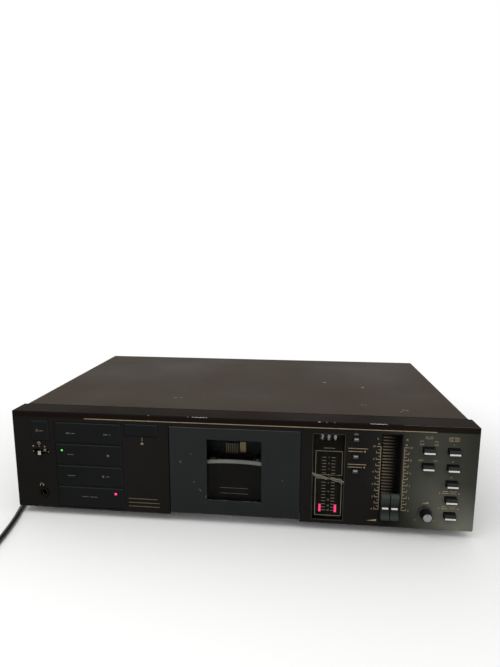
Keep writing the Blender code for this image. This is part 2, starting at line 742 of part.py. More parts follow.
def front_panel():
    """A moulded tray on edge: a front plate with a hole for each control, and a lip all round."""
    panel = box("front_panel", (-HALF_PANEL, 0, 0), (HALF_PANEL, PANEL_DEPTH, PANEL_HEIGHT))
    round_edges(panel, PANEL_EDGE)
    hollow = box(
        "panel_hollow",
        (-HALF_PANEL + PANEL_WALL, PANEL_PLATE, PANEL_WALL),
        (HALF_PANEL - PANEL_WALL, PANEL_DEPTH + OVERRUN, PANEL_HEIGHT - PANEL_WALL),
    )
    notch = box(
        "door_notch",
        (column(7)[0] - DOOR_GAP, -OVERRUN, -OVERRUN),
        (column(7)[1] + DOOR_GAP, PANEL_DEPTH + OVERRUN, FIELD_TOP - TOP_BAND),
    )
    door_top = box(
        "door_top_hole",
        (column(7)[0] - DOOR_GAP, -OVERRUN, FIELD_TOP - TOP_BAND - OVERRUN),
        (column(7)[1] + DOOR_GAP, PANEL_PLATE + OVERRUN, FIELD_TOP),
    )
    holes = [
        face_hole(POWER_X, POWER_Z, POWER_WIDTH, POWER_HEIGHT, RUNNING_CLEARANCE),
        face_hole(POWER_X, TIMER_Z, TIMER_SLOT_WIDTH, TIMER_SLOT_HEIGHT, 0),
        face_hole(KEY_X, (FIELD_BOTTOM + FIELD_TOP) / 2, KEY_WIDTH, FIELD_HEIGHT, KEY_GAP / 2),
        face_hole(EJECT_X, EJECT_Z, EJECT_WIDTH, EJECT_HEIGHT, RUNNING_CLEARANCE),
        face_hole(LENS_X, (FIELD_BOTTOM + FIELD_TOP) / 2, LENS_WIDTH, FIELD_HEIGHT - 2 * LENS_MARGIN, 0),
        face_hole(FADER_X, (FADER_BOTTOM + FADER_TOP) / 2, FADER_WIDTH, FADER_TOP - FADER_BOTTOM, 0),
    ]
    for height in small_button_heights():
        holes.append(
            face_hole(SMALL_BUTTON_X, height, SMALL_BUTTON_WIDTH, SMALL_BUTTON_HEIGHT, RUNNING_CLEARANCE)
        )
    for height in tape_button_heights():
        holes.append(face_hole(TAPE_X, height, CAP_WIDTH, CAP_HEIGHT, RUNNING_CLEARANCE))
    for height in noise_button_heights():
        holes.append(face_hole(NOISE_X, height, CAP_WIDTH, CAP_HEIGHT, RUNNING_CLEARANCE))
    round_holes = [
        rod(name, (x, -OVERRUN, z), (x, PANEL_PLATE + OVERRUN, z), radius, ROUND_SIDES)
        for name, x, z, radius in (
            ("jack_hole", POWER_X, JACK_Z, JACK_BUSH_RADIUS + CLEARANCE),
            ("knob_hole", NOISE_X, KNOB_Z, KNOB_SHAFT_RADIUS + RUNNING_CLEARANCE),
        )
    ]
    cut(panel, hollow, notch, door_top, boxes("panel_holes", holes), *round_holes)
    return finish(panel, BLACK_PANEL)


def cover_outline(side, top, bend):
    """Half round the bends: up the left side, over the top and down the right side."""
    left = arc(-side + bend, top - bend, bend, 180, 90, COVER_BEND_POINTS)
    right = arc(side - bend, top - bend, bend, 90, 0, COVER_BEND_POINTS)
    return [(-side, COVER_ABOVE_PANEL_BOTTOM), *left, *right, (side, COVER_ABOVE_PANEL_BOTTOM)]


def screw_places():
    """Side (-1 or 1), end and depth of each cover screw."""
    span = BODY_DEPTH - COVER_FRONT
    ends = (("front", SCREW_FRONT_SHARE), ("rear", SCREW_REAR_SHARE))
    return [(side, end, COVER_FRONT + span * share) for side in (-1, 1) for end, share in ends]


def screw_holes(name):
    reach = SCREW_SHANK_LENGTH + OVERRUN
    return rods(
        name,
        [
            (
                (side * (COVER_SIDE - reach), depth, SCREW_HEIGHT),
                (side * (COVER_SIDE + reach), depth, SCREW_HEIGHT),
            )
            for side, _, depth in screw_places()
        ],
        SCREW_SHANK_RADIUS + CLEARANCE,
    )


def top_cover():
    """Folded steel: a top and two sides with bent edges, open to the front, the back and below."""
    outer = cover_outline(COVER_SIDE, PANEL_HEIGHT, COVER_BEND)
    inner = cover_outline(
        COVER_SIDE - COVER_THICKNESS, PANEL_HEIGHT - COVER_THICKNESS, COVER_BEND - COVER_THICKNESS
    )
    cover = prism("top_cover", outer + inner[::-1], COVER_FRONT, BODY_DEPTH, upright)
    cut(cover, screw_holes("cover_screw_holes"))
    return finish(cover, COVER_PAINT)


def bottom_chassis():
    """Steel tray with side flanges, front flanges beside the well, vent slots and stand-offs."""
    front = COVER_FRONT
    left = WELL_X - PLATE_HALF - CLEARANCE
    right = WELL_X + PLATE_HALF + CLEARANCE
    low = CHASSIS_ABOVE_PANEL_BOTTOM
    high = low + CHASSIS_FLANGE_HEIGHT
    tray = box("bottom_chassis", (-CHASSIS_SIDE, front, low), (CHASSIS_SIDE, CHASSIS_REAR, CHASSIS_TOP))
    flanges = [
        ((-CHASSIS_SIDE, front, low), (-CHASSIS_SIDE + CHASSIS_THICKNESS, CHASSIS_REAR, high)),
        ((CHASSIS_SIDE - CHASSIS_THICKNESS, front, low), (CHASSIS_SIDE, CHASSIS_REAR, high)),
    ]
    front_flanges = [
        ((-CHASSIS_SIDE, front, low), (left, front + CHASSIS_THICKNESS, high)),
        ((right, front, low), (CHASSIS_SIDE, front + CHASSIS_THICKNESS, high)),
    ]
    standoffs = rods(
        "standoffs",
        [
            ((x, y, CHASSIS_TOP - EMBED), (x, y, CHASSIS_TOP + STANDOFF_HEIGHT))
            for x in (BOARD_LEFT + STANDOFF_INSET, BOARD_RIGHT - STANDOFF_INSET)
            for y in (BOARD_FRONT + STANDOFF_INSET, BOARD_REAR - STANDOFF_INSET)
        ],
        STANDOFF_RADIUS,
    )
    slot_rear = CHASSIS_REAR - CHASSIS_SLOT_FROM_REAR
    slots = [
        (
            (x - CHASSIS_SLOT_WIDTH / 2, slot_rear - CHASSIS_SLOT_LENGTH, low - OVERRUN),
            (x + CHASSIS_SLOT_WIDTH / 2, slot_rear, CHASSIS_TOP + OVERRUN),
        )
        for x in (
            CHASSIS_SLOT_FROM_MIDDLE + CHASSIS_SLOT_PITCH * (number - (CHASSIS_SLOTS - 1) / 2)
            for number in range(CHASSIS_SLOTS)
        )
    ]
    fuse(tray, boxes("side_flanges", flanges), boxes("front_flanges", front_flanges), standoffs)
    cut(tray, boxes("vent_slots", slots), screw_holes("chassis_screw_holes"))
    return finish(tray, ZINC_STEEL)


def rear_panel():
    """Plate across the back, with holes for the four jacks and the strain relief."""
    low = CHASSIS_ABOVE_PANEL_BOTTOM
    panel = box(
        "rear_panel",
        (-CHASSIS_SIDE, REAR_INNER, low),
        (CHASSIS_SIDE, REAR_OUTER, PANEL_HEIGHT - COVER_THICKNESS - CLEARANCE - COVER_BEND),
    )
    jacks = [
        ((x, REAR_INNER - OVERRUN, z), (x, REAR_OUTER + OVERRUN, z)) for x, z in phono_places()
    ]
    gland = [((GLAND_X, REAR_INNER - OVERRUN, GLAND_HEIGHT), (GLAND_X, REAR_OUTER + OVERRUN, GLAND_HEIGHT))]
    cut(
        panel,
        rods("jack_holes", jacks, PHONO_RADIUS + CLEARANCE),
        rods("gland_hole", gland, GLAND_RADIUS + CLEARANCE),
    )
    return finish(panel, COVER_PAINT)


def cover_screws():
    for side, end, depth in screw_places():
        name = "cover_screw_" + ("left_" if side < 0 else "right_") + end
        outside = side * (COVER_SIDE + CLEARANCE)
        head = cone(
            name,
            (outside, depth, SCREW_HEIGHT),
            (outside + side * SCREW_HEAD_HEIGHT, depth, SCREW_HEIGHT),
            SCREW_HEAD_RADIUS, SCREW_HEAD_TOP_RADIUS, SMALL_SIDES,
        )
        shank = rod(
            name + "_shank",
            (outside + side * EMBED, depth, SCREW_HEIGHT),
            (outside - side * SCREW_SHANK_LENGTH, depth, SCREW_HEIGHT),
            SCREW_SHANK_RADIUS,
        )
        fuse(head, shank)
        finish(head, ZINC_STEEL)


def feet():
    x = CHASSIS_SIDE - FOOT_FROM_SIDE
    for end, depth in (("front", FOOT_FRONT_DEPTH), ("rear", CHASSIS_REAR - FOOT_REAR_INSET)):
        for side, name in ((-1, "left"), (1, "right")):
            foot = rod(
                f"foot_{end}_{name}",
                (side * x, depth, -FOOT_CLEARANCE),
                (side * x, depth, CHASSIS_ABOVE_PANEL_BOTTOM - CLEARANCE),
                FOOT_RADIUS, ROUND_SIDES,
            )
            round_edges(foot, FOOT_EDGE)
            finish(foot, RUBBER)


# Controls at the left

def button_cap(name, x, z, width, height, proud, depth, edge):
    """Block with rounded edges that fills its hole in the panel."""
    cap = box(name, (x - width / 2, -proud, z - height / 2), (x + width / 2, depth, z + height / 2))
    round_edges(cap, edge)
    return cap


def button_flange(name, x, z, width, height):
    """Plate behind the panel, wider than the hole."""
    half_width = width / 2 + FLANGE
    half_height = height / 2 + FLANGE / 2
    return box(
        name + "_flange",
        (x - half_width, FLANGE_DEPTH, z - half_height),
        (x + half_width, FLANGE_DEPTH + FLANGE, z + half_height),
    )


def power_button():
    button = button_cap(
        "power_button", POWER_X, POWER_Z, POWER_WIDTH, POWER_HEIGHT, POWER_PROUD,
        KEY_BOARD_DEPTH - CLEARANCE - POWER_TRAVEL - CLEARANCE, KEY_EDGE,
    )
    fuse(button, button_flange("power_button", POWER_X, POWER_Z, POWER_WIDTH, POWER_HEIGHT))
    return finish(button, BLACK_MOULDING, (POWER_X, 0, POWER_Z))


def timer_lever():
    """Lever through the slot, on a runner that slides along the back of the panel's plate."""
    lever = box(
        "timer_lever",
        (POWER_X - TIMER_LEVER_WIDTH / 2, -TIMER_LEVER_PROUD, TIMER_Z - TIMER_LEVER_HEIGHT / 2),
        (POWER_X + TIMER_LEVER_WIDTH / 2, FLANGE_DEPTH + EMBED, TIMER_Z + TIMER_LEVER_HEIGHT / 2),
    )
    runner = box(
        "timer_runner",
        (POWER_X - TIMER_RUNNER_WIDTH / 2, FLANGE_DEPTH, TIMER_Z - TIMER_RUNNER_HEIGHT / 2),
        (
            POWER_X + TIMER_RUNNER_WIDTH / 2,
            FLANGE_DEPTH + TIMER_RUNNER_DEPTH,
            TIMER_Z + TIMER_RUNNER_HEIGHT / 2,
        ),
    )
    round_edges(lever, EMBED)
    fuse(lever, runner)
    return finish(lever, BRIGHT_STEEL, (POWER_X, 0, TIMER_Z))


def phones_jack():
    """Socket body on the key board, with its bush through the panel and a bore for the plug."""
    half = JACK_BODY_WIDTH / 2
    body = box(
        "phones_jack",
        (POWER_X - half, FLANGE_DEPTH, JACK_Z - half),
        (POWER_X + half, KEY_BOARD_DEPTH - CLEARANCE, JACK_Z + half),
    )
    bush = rod(
        "phones_bush",
        (POWER_X, -JACK_PROUD, JACK_Z), (POWER_X, FLANGE_DEPTH + EMBED, JACK_Z),
        JACK_BUSH_RADIUS, ROUND_SIDES,
    )
    bore = rod(
        "phones_bore",
        (POWER_X, -JACK_PROUD - OVERRUN, JACK_Z), (POWER_X, JACK_BORE_DEPTH, JACK_Z),
        JACK_BORE_RADIUS, ROUND_SIDES,
    )
    fuse(body, bush)
    cut(body, bore)
    return finish(body, BLACK_MOULDING)


def key_middle(row):
    """Height of the middle of a transport key, with row 0 at the top."""
    return FIELD_TOP - KEY_PITCH * (row + 0.5)


def transport_keys():
    """Wide keys that rock on a rib behind their middle, one end or the other pressed in."""
    half_height = (KEY_PITCH - KEY_GAP) / 2
    for row in range(KEY_ROWS):
        z = key_middle(row)
        key = box(
            f"transport_key_{row + 1}",
            (KEY_X - KEY_WIDTH / 2, -KEY_PROUD, z - half_height),
            (KEY_X + KEY_WIDTH / 2, KEY_THICKNESS, z + half_height),
        )
        round_edges(key, KEY_EDGE)
        finish(key, BLACK_MOULDING, (KEY_X, KEY_THICKNESS, z))


def key_board():
    """Board behind the left controls, with a rocker rib and two switches for each key."""
    left = -HALF_PANEL + PANEL_WALL + CLEARANCE
    right = EJECT_X - EJECT_WIDTH / 2
    board = box(
        "key_board",
        (left, KEY_BOARD_DEPTH, PANEL_WALL + CLEARANCE),
        (right, KEY_BOARD_DEPTH + BOARD_THICKNESS, PANEL_HEIGHT - PANEL_WALL - CLEARANCE),
    )
    rib = box(
        "key_rib",
        (KEY_X - FULCRUM_WIDTH / 2, KEY_THICKNESS + CLEARANCE, FIELD_BOTTOM),
        (KEY_X + FULCRUM_WIDTH / 2, KEY_BOARD_DEPTH + EMBED, FIELD_TOP),
    )
    rock = KEY_WIDTH / 2 * math.sin(math.radians(KEY_ROCK_DEGREES)) + RUNNING_CLEARANCE
    switches = []
    for row in range(KEY_ROWS):
        z = key_middle(row)
        for side in (-1, 1):
            x = KEY_X + side * (KEY_WIDTH / 2 - SWITCH_WIDTH)
            switches.append((
                (x - SWITCH_WIDTH / 2, KEY_THICKNESS + rock, z - SWITCH_HEIGHT / 2),
                (x + SWITCH_WIDTH / 2, KEY_BOARD_DEPTH + EMBED, z + SWITCH_HEIGHT / 2),
            ))
    fuse(board, rib, boxes("key_switches", switches))
    return finish(board, BOARD_GREEN)


def eject_button():
    button = button_cap(
        "eject_button", EJECT_X, EJECT_Z, EJECT_WIDTH, EJECT_HEIGHT, EJECT_PROUD, EJECT_DEPTH, KEY_EDGE
    )
    fuse(button, button_flange("eject_button", EJECT_X, EJECT_Z, EJECT_WIDTH, EJECT_HEIGHT))
    return finish(button, BLACK_MOULDING, (EJECT_X, 0, EJECT_Z))


# Cassette door and holder

HINGE_POINT = (WELL_X, HINGE_DEPTH, HINGE_HEIGHT)


def cassette_door():
    """Flat door with a stepped window opening, and two ears with hinge pins at its bottom corners."""
    half = DOOR_WIDTH / 2
    low = FIELD_BOTTOM
    high = FIELD_TOP - DOOR_GAP
    door = box("cassette_door", (WELL_X - half, 0, low), (WELL_X + half, DOOR_THICKNESS, high))
    round_edges(door, DOOR_EDGE)
    opening = box(
        "window_opening",
        (WELL_X - WINDOW_WIDTH / 2, -OVERRUN, WINDOW_BOTTOM),
        (WELL_X + WINDOW_WIDTH / 2, DOOR_THICKNESS + OVERRUN, WINDOW_TOP),
    )
    ledge = box(
        "window_ledge",
        (WELL_X - WINDOW_WIDTH / 2 - WINDOW_LEDGE, WINDOW_LEDGE_DEPTH, WINDOW_BOTTOM - WINDOW_LEDGE),
        (WELL_X + WINDOW_WIDTH / 2 + WINDOW_LEDGE, DOOR_THICKNESS + OVERRUN, WINDOW_TOP + WINDOW_LEDGE),
    )
    ears = []
    pins = []
    for side in (-1, 1):
        outer = WELL_X + side * (half - HINGE_EAR / 2)
        inner = outer - side * HINGE_EAR
        ears.append((
            (min(outer, inner), DOOR_THICKNESS - EMBED, HINGE_HEIGHT - HINGE_LUG),
            (max(outer, inner), HINGE_DEPTH + HINGE_LUG, HINGE_HEIGHT + HINGE_LUG),
        ))
        pins.append((
            (inner, HINGE_DEPTH, HINGE_HEIGHT),
            (WELL_X + side * (PLATE_HALF - CLEARANCE), HINGE_DEPTH, HINGE_HEIGHT),
        ))
    fuse(door, boxes("door_ears", ears), rods("door_pins", pins, HINGE_PIN_RADIUS))
    cut(door, opening, ledge)
    return finish(door, BLACK_PANEL, HINGE_POINT)


def door_window():
    """Clear pane that fills the opening from behind and rests on its ledge."""
    half = WINDOW_WIDTH / 2
    pane = box(
        "door_window",
        (
            WELL_X - half - WINDOW_LEDGE + CLEARANCE,
            WINDOW_LEDGE_DEPTH + CLEARANCE,
            WINDOW_BOTTOM - WINDOW_LEDGE + CLEARANCE,
        ),
        (
            WELL_X + half + WINDOW_LEDGE - CLEARANCE,
            DOOR_THICKNESS,
            WINDOW_TOP + WINDOW_LEDGE - CLEARANCE,
        ),
    )
    raised = box(
        "window_raised",
        (WELL_X - half + CLEARANCE, WINDOW_SUNK, WINDOW_BOTTOM + CLEARANCE),
        (WELL_X + half - CLEARANCE, WINDOW_LEDGE_DEPTH + CLEARANCE + EMBED, WINDOW_TOP - CLEARANCE),
    )
    fuse(pane, raised)
    return finish(pane, CLEAR_SMOKE, HINGE_POINT)


def cassette_holder():
    """Pocket on the door's back: low arched front, two channels, and a shelf at each lower corner."""
    half = HOLDER_WIDTH / 2
    inner = half - HOLDER_WALL
    side_top = HOLDER_BOTTOM + (HOLDER_TOP - HOLDER_BOTTOM) * HOLDER_FRONT_SIDE_SHARE
    arch = []
    for step in range(HOLDER_ARCH_POINTS):
        across_share = step / (HOLDER_ARCH_POINTS - 1)
        rise = HOLDER_FRONT_RISE * math.sin(math.pi * across_share)
        arch.append((WELL_X + half - 2 * half * across_share, side_top + rise))
    outline = [(WELL_X - half, HOLDER_BOTTOM), (WELL_X + half, HOLDER_BOTTOM), *arch]
    holder = prism("cassette_holder", outline, HOLDER_FRONT, POCKET_FRONT, upright)
    walls = []
    flanges = []
    shelves = []
    for side in (-1, 1):
        outer_x = WELL_X + side * half
        inner_x = WELL_X + side * inner
        flange_x = WELL_X + side * (inner - HOLDER_FLANGE)
        shelf_x = WELL_X + side * (inner - HOLDER_SHELF)
        walls.append((
            (min(outer_x, inner_x), HOLDER_FRONT, HOLDER_BOTTOM),
            (max(outer_x, inner_x), HOLDER_REAR, HOLDER_TOP),
        ))
        flanges.append((
            (min(outer_x, flange_x), POCKET_REAR, HOLDER_BOTTOM),
            (max(outer_x, flange_x), HOLDER_REAR, HOLDER_TOP),
        ))
        shelves.append((
            (min(outer_x, shelf_x), HOLDER_FRONT, HOLDER_BOTTOM),
            (max(outer_x, shelf_x), HOLDER_REAR, HOLDER_BOTTOM + HOLDER_WALL),
        ))
    fuse(
        holder,
        boxes("holder_walls", walls), boxes("holder_flanges", flanges), boxes("holder_shelves", shelves),
    )
    return finish(holder, GREY_MOULDING, HINGE_POINT)


# Mechanism

def mechanism_plate():
    """Upright steel plate with hinge ears in front, and brackets behind for the motor and the flywheel."""
    left = WELL_X - PLATE_HALF
    right = WELL_X + PLATE_HALF
    plate = box("mechanism_plate", (left, PLATE_FRONT, PLATE_BOTTOM), (right, PLATE_REAR, PLATE_TOP))
    ear_top = HINGE_HEIGHT + HINGE_LUG_TOP
    ear_front = HINGE_DEPTH - HINGE_LUG
    ears = [
        ((x, ear_front, PLATE_BOTTOM), (x + HINGE_EAR, PLATE_FRONT + EMBED, ear_top))
        for x in (left, right - HINGE_EAR)
    ]
    motor_top = MOTOR_Z + MOTOR_RADIUS
    motor_right = MOTOR_X + MOTOR_RADIUS
    bridge_left = CAPSTAN_X - BRIDGE_HEIGHT / 2
    brackets = [
        (
            (left, PLATE_REAR - EMBED, PLATE_BOTTOM),
            (left + BRACKET_WALL, MOTOR_BRACKET_FRONT + BRACKET_WALL, motor_top),
        ),
        (
            (right - BRACKET_WALL, PLATE_REAR - EMBED, PLATE_BOTTOM),
            (right, THRUST_DEPTH + BRACKET_WALL, motor_top),
        ),
    ]
    bridges = [
        (
            (left, MOTOR_BRACKET_FRONT, PLATE_BOTTOM),
            (motor_right, MOTOR_BRACKET_FRONT + BRACKET_WALL, motor_top),
        ),
        (
            (bridge_left, THRUST_DEPTH, CAPSTAN_Z - BRIDGE_HEIGHT / 2),
            (right, THRUST_DEPTH + BRACKET_WALL, CAPSTAN_Z + BRIDGE_HEIGHT / 2),
        ),
    ]
    pin_z = slide_pin_height()
    pins = rods(
        "slide_pins",
        [
            ((x, SLIDE_FRONT - CLEARANCE, pin_z), (x, PLATE_FRONT + EMBED, pin_z))
            for x in slide_pin_places()
        ],
        SLIDE_PIN_RADIUS,
    )
    post = rod(
        "pinch_post",
        (PIVOT_X, PINCH_ARM_FRONT - CLEARANCE, PINCH_PIVOT_HEIGHT),
        (PIVOT_X, PLATE_FRONT + EMBED, PINCH_PIVOT_HEIGHT),
        PINCH_PIVOT_RADIUS,
    )
    shoulder = rod(
        "pinch_shoulder",
        (PIVOT_X, PINCH_ARM_FRONT + PINCH_ARM_THICKNESS + CLEARANCE, PINCH_PIVOT_HEIGHT),
        (PIVOT_X, PLATE_FRONT + EMBED, PINCH_PIVOT_HEIGHT),
        PINCH_PIVOT_RADIUS + PINCH_ARM_BORDER,
    )
    fuse(plate, boxes("hinge_ears", ears), boxes("bracket_sides", brackets), boxes("bridges", bridges))
    fuse(plate, pins, shoulder, post)
    before = PLATE_FRONT - OVERRUN
    behind = PLATE_REAR + OVERRUN
    shafts = rods(
        "reel_holes",
        [((x, before, HUB_Z), (x, behind, HUB_Z)) for x in (SUPPLY_X, TAKEUP_X)],
        REEL_SHAFT_RADIUS + CLEARANCE,
    )
    capstan = rod(
        "capstan_hole",
        (CAPSTAN_X, before, CAPSTAN_Z), (CAPSTAN_X, behind, CAPSTAN_Z), CAPSTAN_RADIUS + CLEARANCE,
    )
    boss = rod(
        "motor_hole",
        (MOTOR_X, MOTOR_BRACKET_FRONT - OVERRUN, MOTOR_Z),
        (MOTOR_X, MOTOR_FRONT + OVERRUN, MOTOR_Z),
        MOTOR_BOSS_RADIUS + CLEARANCE,
    )
    hinge_holes = rod(
        "hinge_holes",
        (left - OVERRUN, HINGE_DEPTH, HINGE_HEIGHT), (right + OVERRUN, HINGE_DEPTH, HINGE_HEIGHT),
        HINGE_PIN_RADIUS + CLEARANCE,
    )
    cut(plate, shafts, capstan, boss, hinge_holes)
    return finish(plate, ZINC_STEEL)


def slide_pin_height():
    """With the slide down, the pins stand at the upper end of its slots."""
    slot = SLIDE_TRAVEL + 2 * (SLIDE_PIN_RADIUS + CLEARANCE)
    return (SLIDE_BOTTOM + SLIDE_TOP + slot) / 2 - SLIDE_PIN_RADIUS - CLEARANCE


def slide_pin_places():
    return WELL_X - SLIDE_PIN_LEFT, WELL_X + SLIDE_PIN_RIGHT


def head_slide():
    """Plate that lifts the erase head and the record and play head into the cassette."""
    left = slide_pin_places()[0] - SLIDE_BORDER
    right = slide_pin_places()[1] + SLIDE_BORDER
    slide = box("head_slide", (left, SLIDE_FRONT, SLIDE_BOTTOM), (right, SLIDE_REAR, SLIDE_TOP))
    top = SLIDE_BOTTOM + HEAD_BASE + HEAD_HEIGHT
    heads = [
        (
            (x - width / 2, HEAD_FRONT_DEPTH, SLIDE_BOTTOM + HEAD_BASE),
            (x + width / 2, SLIDE_FRONT + EMBED, top),
        )
        for x, width in ((WELL_X, HEAD_WIDTH), (WELL_X - ERASE_HEAD_FROM_MIDDLE, ERASE_HEAD_WIDTH))
    ]
    slot_top = slide_pin_height() + SLIDE_PIN_RADIUS + CLEARANCE
    slot_bottom = slot_top - SLIDE_TRAVEL - 2 * (SLIDE_PIN_RADIUS + CLEARANCE)
    half_slot = SLIDE_PIN_RADIUS + CLEARANCE
    slots = [
        (
            (x - half_slot, SLIDE_FRONT - OVERRUN, slot_bottom),
            (x + half_slot, SLIDE_REAR + OVERRUN, slot_top),
        )
        for x in slide_pin_places()
    ]
    fuse(slide, boxes("heads", heads))
    cut(slide, boxes("slide_slots", slots))
    return finish(slide, BRIGHT_STEEL, (WELL_X, SLIDE_REAR, SLIDE_BOTTOM))


def reel(name, x):
    """Finned spindle in front of the plate, shaft through it and gear behind it."""
    spindle_rear = PLATE_FRONT - CLEARANCE
    gear_front = PLATE_REAR + CLEARANCE
    fin_reach = REEL_SPINDLE_RADIUS + REEL_SPINDLE_FIN
    body = turned(
        name,
        [
            (0, REEL_FRONT_DEPTH),
            (REEL_SHAFT_RADIUS, REEL_FRONT_DEPTH),
            (REEL_SPINDLE_RADIUS, REEL_FRONT_DEPTH + REEL_SPINDLE_FIN),
            (REEL_SPINDLE_RADIUS, spindle_rear),
            (REEL_SHAFT_RADIUS, spindle_rear),
            (REEL_SHAFT_RADIUS, gear_front),
            (REEL_GEAR_RADIUS, gear_front),
            (REEL_GEAR_RADIUS, gear_front + REEL_GEAR_THICKNESS),
            (0, gear_front + REEL_GEAR_THICKNESS),
        ],
        across(x, HUB_Z),
    )
    for fin in range(REEL_SPINDLE_FINS):
        angle = math.pi * fin / REEL_SPINDLE_FINS
        blade = box(
            f"{name}_fin_{fin + 1}",
            (-fin_reach, REEL_FRONT_DEPTH + REEL_SPINDLE_FIN, -REEL_SPINDLE_FIN / 2),
            (fin_reach, spindle_rear - REEL_SPINDLE_FIN, REEL_SPINDLE_FIN / 2),
        )
        blade.data.transform(Matrix.Rotation(angle, 4, "Y"))
        blade.data.transform(Matrix.Translation((x, 0, HUB_Z)))
        fuse(body, blade)
    return finish(body, BLACK_ACETAL, (x, PLATE_FRONT, HUB_Z))


def capstan_flywheel():
    """Thin capstan shaft with the flywheel on its rear end."""
    body = turned(
        "capstan_flywheel",
        [
            (0, CAPSTAN_FRONT_DEPTH),
            (CAPSTAN_RADIUS, CAPSTAN_FRONT_DEPTH),
            (CAPSTAN_RADIUS, FLYWHEEL_FRONT - FLYWHEEL_HUB),
            (FLYWHEEL_HUB_RADIUS, FLYWHEEL_FRONT - FLYWHEEL_HUB),
            (FLYWHEEL_HUB_RADIUS, FLYWHEEL_FRONT),
            (FLYWHEEL_RADIUS, FLYWHEEL_FRONT),
            (FLYWHEEL_RADIUS, FLYWHEEL_REAR),
            (FLYWHEEL_HUB_RADIUS, FLYWHEEL_REAR),
            (CAPSTAN_RADIUS, FLYWHEEL_REAR + FLYWHEEL_HUB),
            (0, FLYWHEEL_REAR + FLYWHEEL_HUB),
        ],
        across(CAPSTAN_X, CAPSTAN_Z),
    )
    return finish(body, BRIGHT_STEEL, (CAPSTAN_X, PLATE_FRONT, CAPSTAN_Z))


def pinch_arm():
    """Arm on its post, with the roller's axle at its free end."""
    rear = PINCH_ARM_FRONT + PINCH_ARM_THICKNESS
    half = PINCH_PIVOT_RADIUS + PINCH_ARM_BORDER
    arm = box(
        "pinch_arm",
        (PINCH_X, PINCH_ARM_FRONT, PINCH_PIVOT_HEIGHT - half),
        (PIVOT_X, rear, PINCH_PIVOT_HEIGHT + half),
    )
    ends = [
        rod(name, (x, PINCH_ARM_FRONT, PINCH_PIVOT_HEIGHT), (x, rear, PINCH_PIVOT_HEIGHT), half)
        for name, x in (("arm_free_end", PINCH_X), ("arm_pivot_end", PIVOT_X))
    ]
    axle = rod(
        "pinch_axle",
        (PINCH_X, PINCH_DEPTH - RUNNING_CLEARANCE, PINCH_PIVOT_HEIGHT),
        (PINCH_X, PINCH_ARM_FRONT + EMBED, PINCH_PIVOT_HEIGHT),
        PINCH_AXLE_RADIUS,
    )
    bore = rod(
        "arm_bore",
        (PIVOT_X, PINCH_ARM_FRONT - OVERRUN, PINCH_PIVOT_HEIGHT),
        (PIVOT_X, rear + OVERRUN, PINCH_PIVOT_HEIGHT),
        PINCH_PIVOT_RADIUS + CLEARANCE,
    )
    fuse(arm, *ends, axle)
    cut(arm, bore)
    return finish(arm, ZINC_STEEL, (PIVOT_X, PINCH_ARM_FRONT, PINCH_PIVOT_HEIGHT))


def pinch_roller():
    roller = rod(
        "pinch_roller",
        (PINCH_X, PINCH_DEPTH, PINCH_PIVOT_HEIGHT),
        (PINCH_X, PINCH_DEPTH + PINCH_WIDTH, PINCH_PIVOT_HEIGHT),
        PINCH_RADIUS, ROUND_SIDES,
    )
    bore = rod(
        "roller_bore",
        (PINCH_X, PINCH_DEPTH - OVERRUN, PINCH_PIVOT_HEIGHT),
        (PINCH_X, PINCH_DEPTH + PINCH_WIDTH + OVERRUN, PINCH_PIVOT_HEIGHT),
        PINCH_AXLE_RADIUS + CLEARANCE,
    )
    cut(roller, bore)
    return finish(roller, RUBBER, (PINCH_X, PINCH_DEPTH, PINCH_PIVOT_HEIGHT))


def capstan_motor():
    """Motor can on the bracket's back, with its bearing boss through the bracket."""
    can = rod(
        "capstan_motor",
        (MOTOR_X, MOTOR_FRONT, MOTOR_Z), (MOTOR_X, MOTOR_FRONT + MOTOR_LENGTH, MOTOR_Z),
        MOTOR_RADIUS, ROUND_SIDES,
    )
    round_edges(can, EMBED)
    boss = rod(
        "motor_boss",
        (MOTOR_X, MOTOR_BRACKET_FRONT, MOTOR_Z), (MOTOR_X, MOTOR_FRONT + OVERRUN, MOTOR_Z),
        MOTOR_BOSS_RADIUS,
    )
    bore = rod(
        "motor_bore",
        (MOTOR_X, MOTOR_BRACKET_FRONT - OVERRUN, MOTOR_Z),
        (MOTOR_X, MOTOR_FRONT + MOTOR_BORE_DEPTH, MOTOR_Z),
        CAPSTAN_RADIUS + CLEARANCE,
    )
    fuse(can, boss)
    cut(can, bore)
    return finish(can, BRIGHT_STEEL)


def motor_pulley():
    """Crowned pulley on the motor's shaft."""
    front = BELT_MIDDLE - PULLEY_THICKNESS / 2
    rear = BELT_MIDDLE + PULLEY_THICKNESS / 2
    half_belt = BELT_WIDTH / 2 + RUNNING_CLEARANCE
    body = turned(
        "motor_pulley",
        [
            (0, front),
            (PULLEY_RADIUS + PULLEY_RIM, front),
            (PULLEY_RADIUS, BELT_MIDDLE - half_belt),
            (PULLEY_RADIUS, BELT_MIDDLE + half_belt),
            (PULLEY_RADIUS + PULLEY_RIM, rear),
            (CAPSTAN_RADIUS, rear),
            (CAPSTAN_RADIUS, MOTOR_FRONT + MOTOR_SHAFT_DEPTH),
            (0, MOTOR_FRONT + MOTOR_SHAFT_DEPTH),
        ],
        across(MOTOR_X, MOTOR_Z),
    )
    return finish(body, BRASS, (MOTOR_X, BELT_MIDDLE, MOTOR_Z))


def belt_loop(grow):
    """Outline round the pulley and the flywheel, two arcs joined by straight runs."""
    small = PULLEY_RADIUS + grow
    large = FLYWHEEL_RADIUS + grow
    lean = math.degrees(math.asin((large - small) / (CAPSTAN_X - MOTOR_X)))
    round_large = arc(CAPSTAN_X, CAPSTAN_Z, large, -90 - lean, 90 + lean, ROUND_SIDES)
    round_small = arc(MOTOR_X, MOTOR_Z, small, 90 + lean, 270 - lean, SMALL_SIDES)
    return round_large + round_small


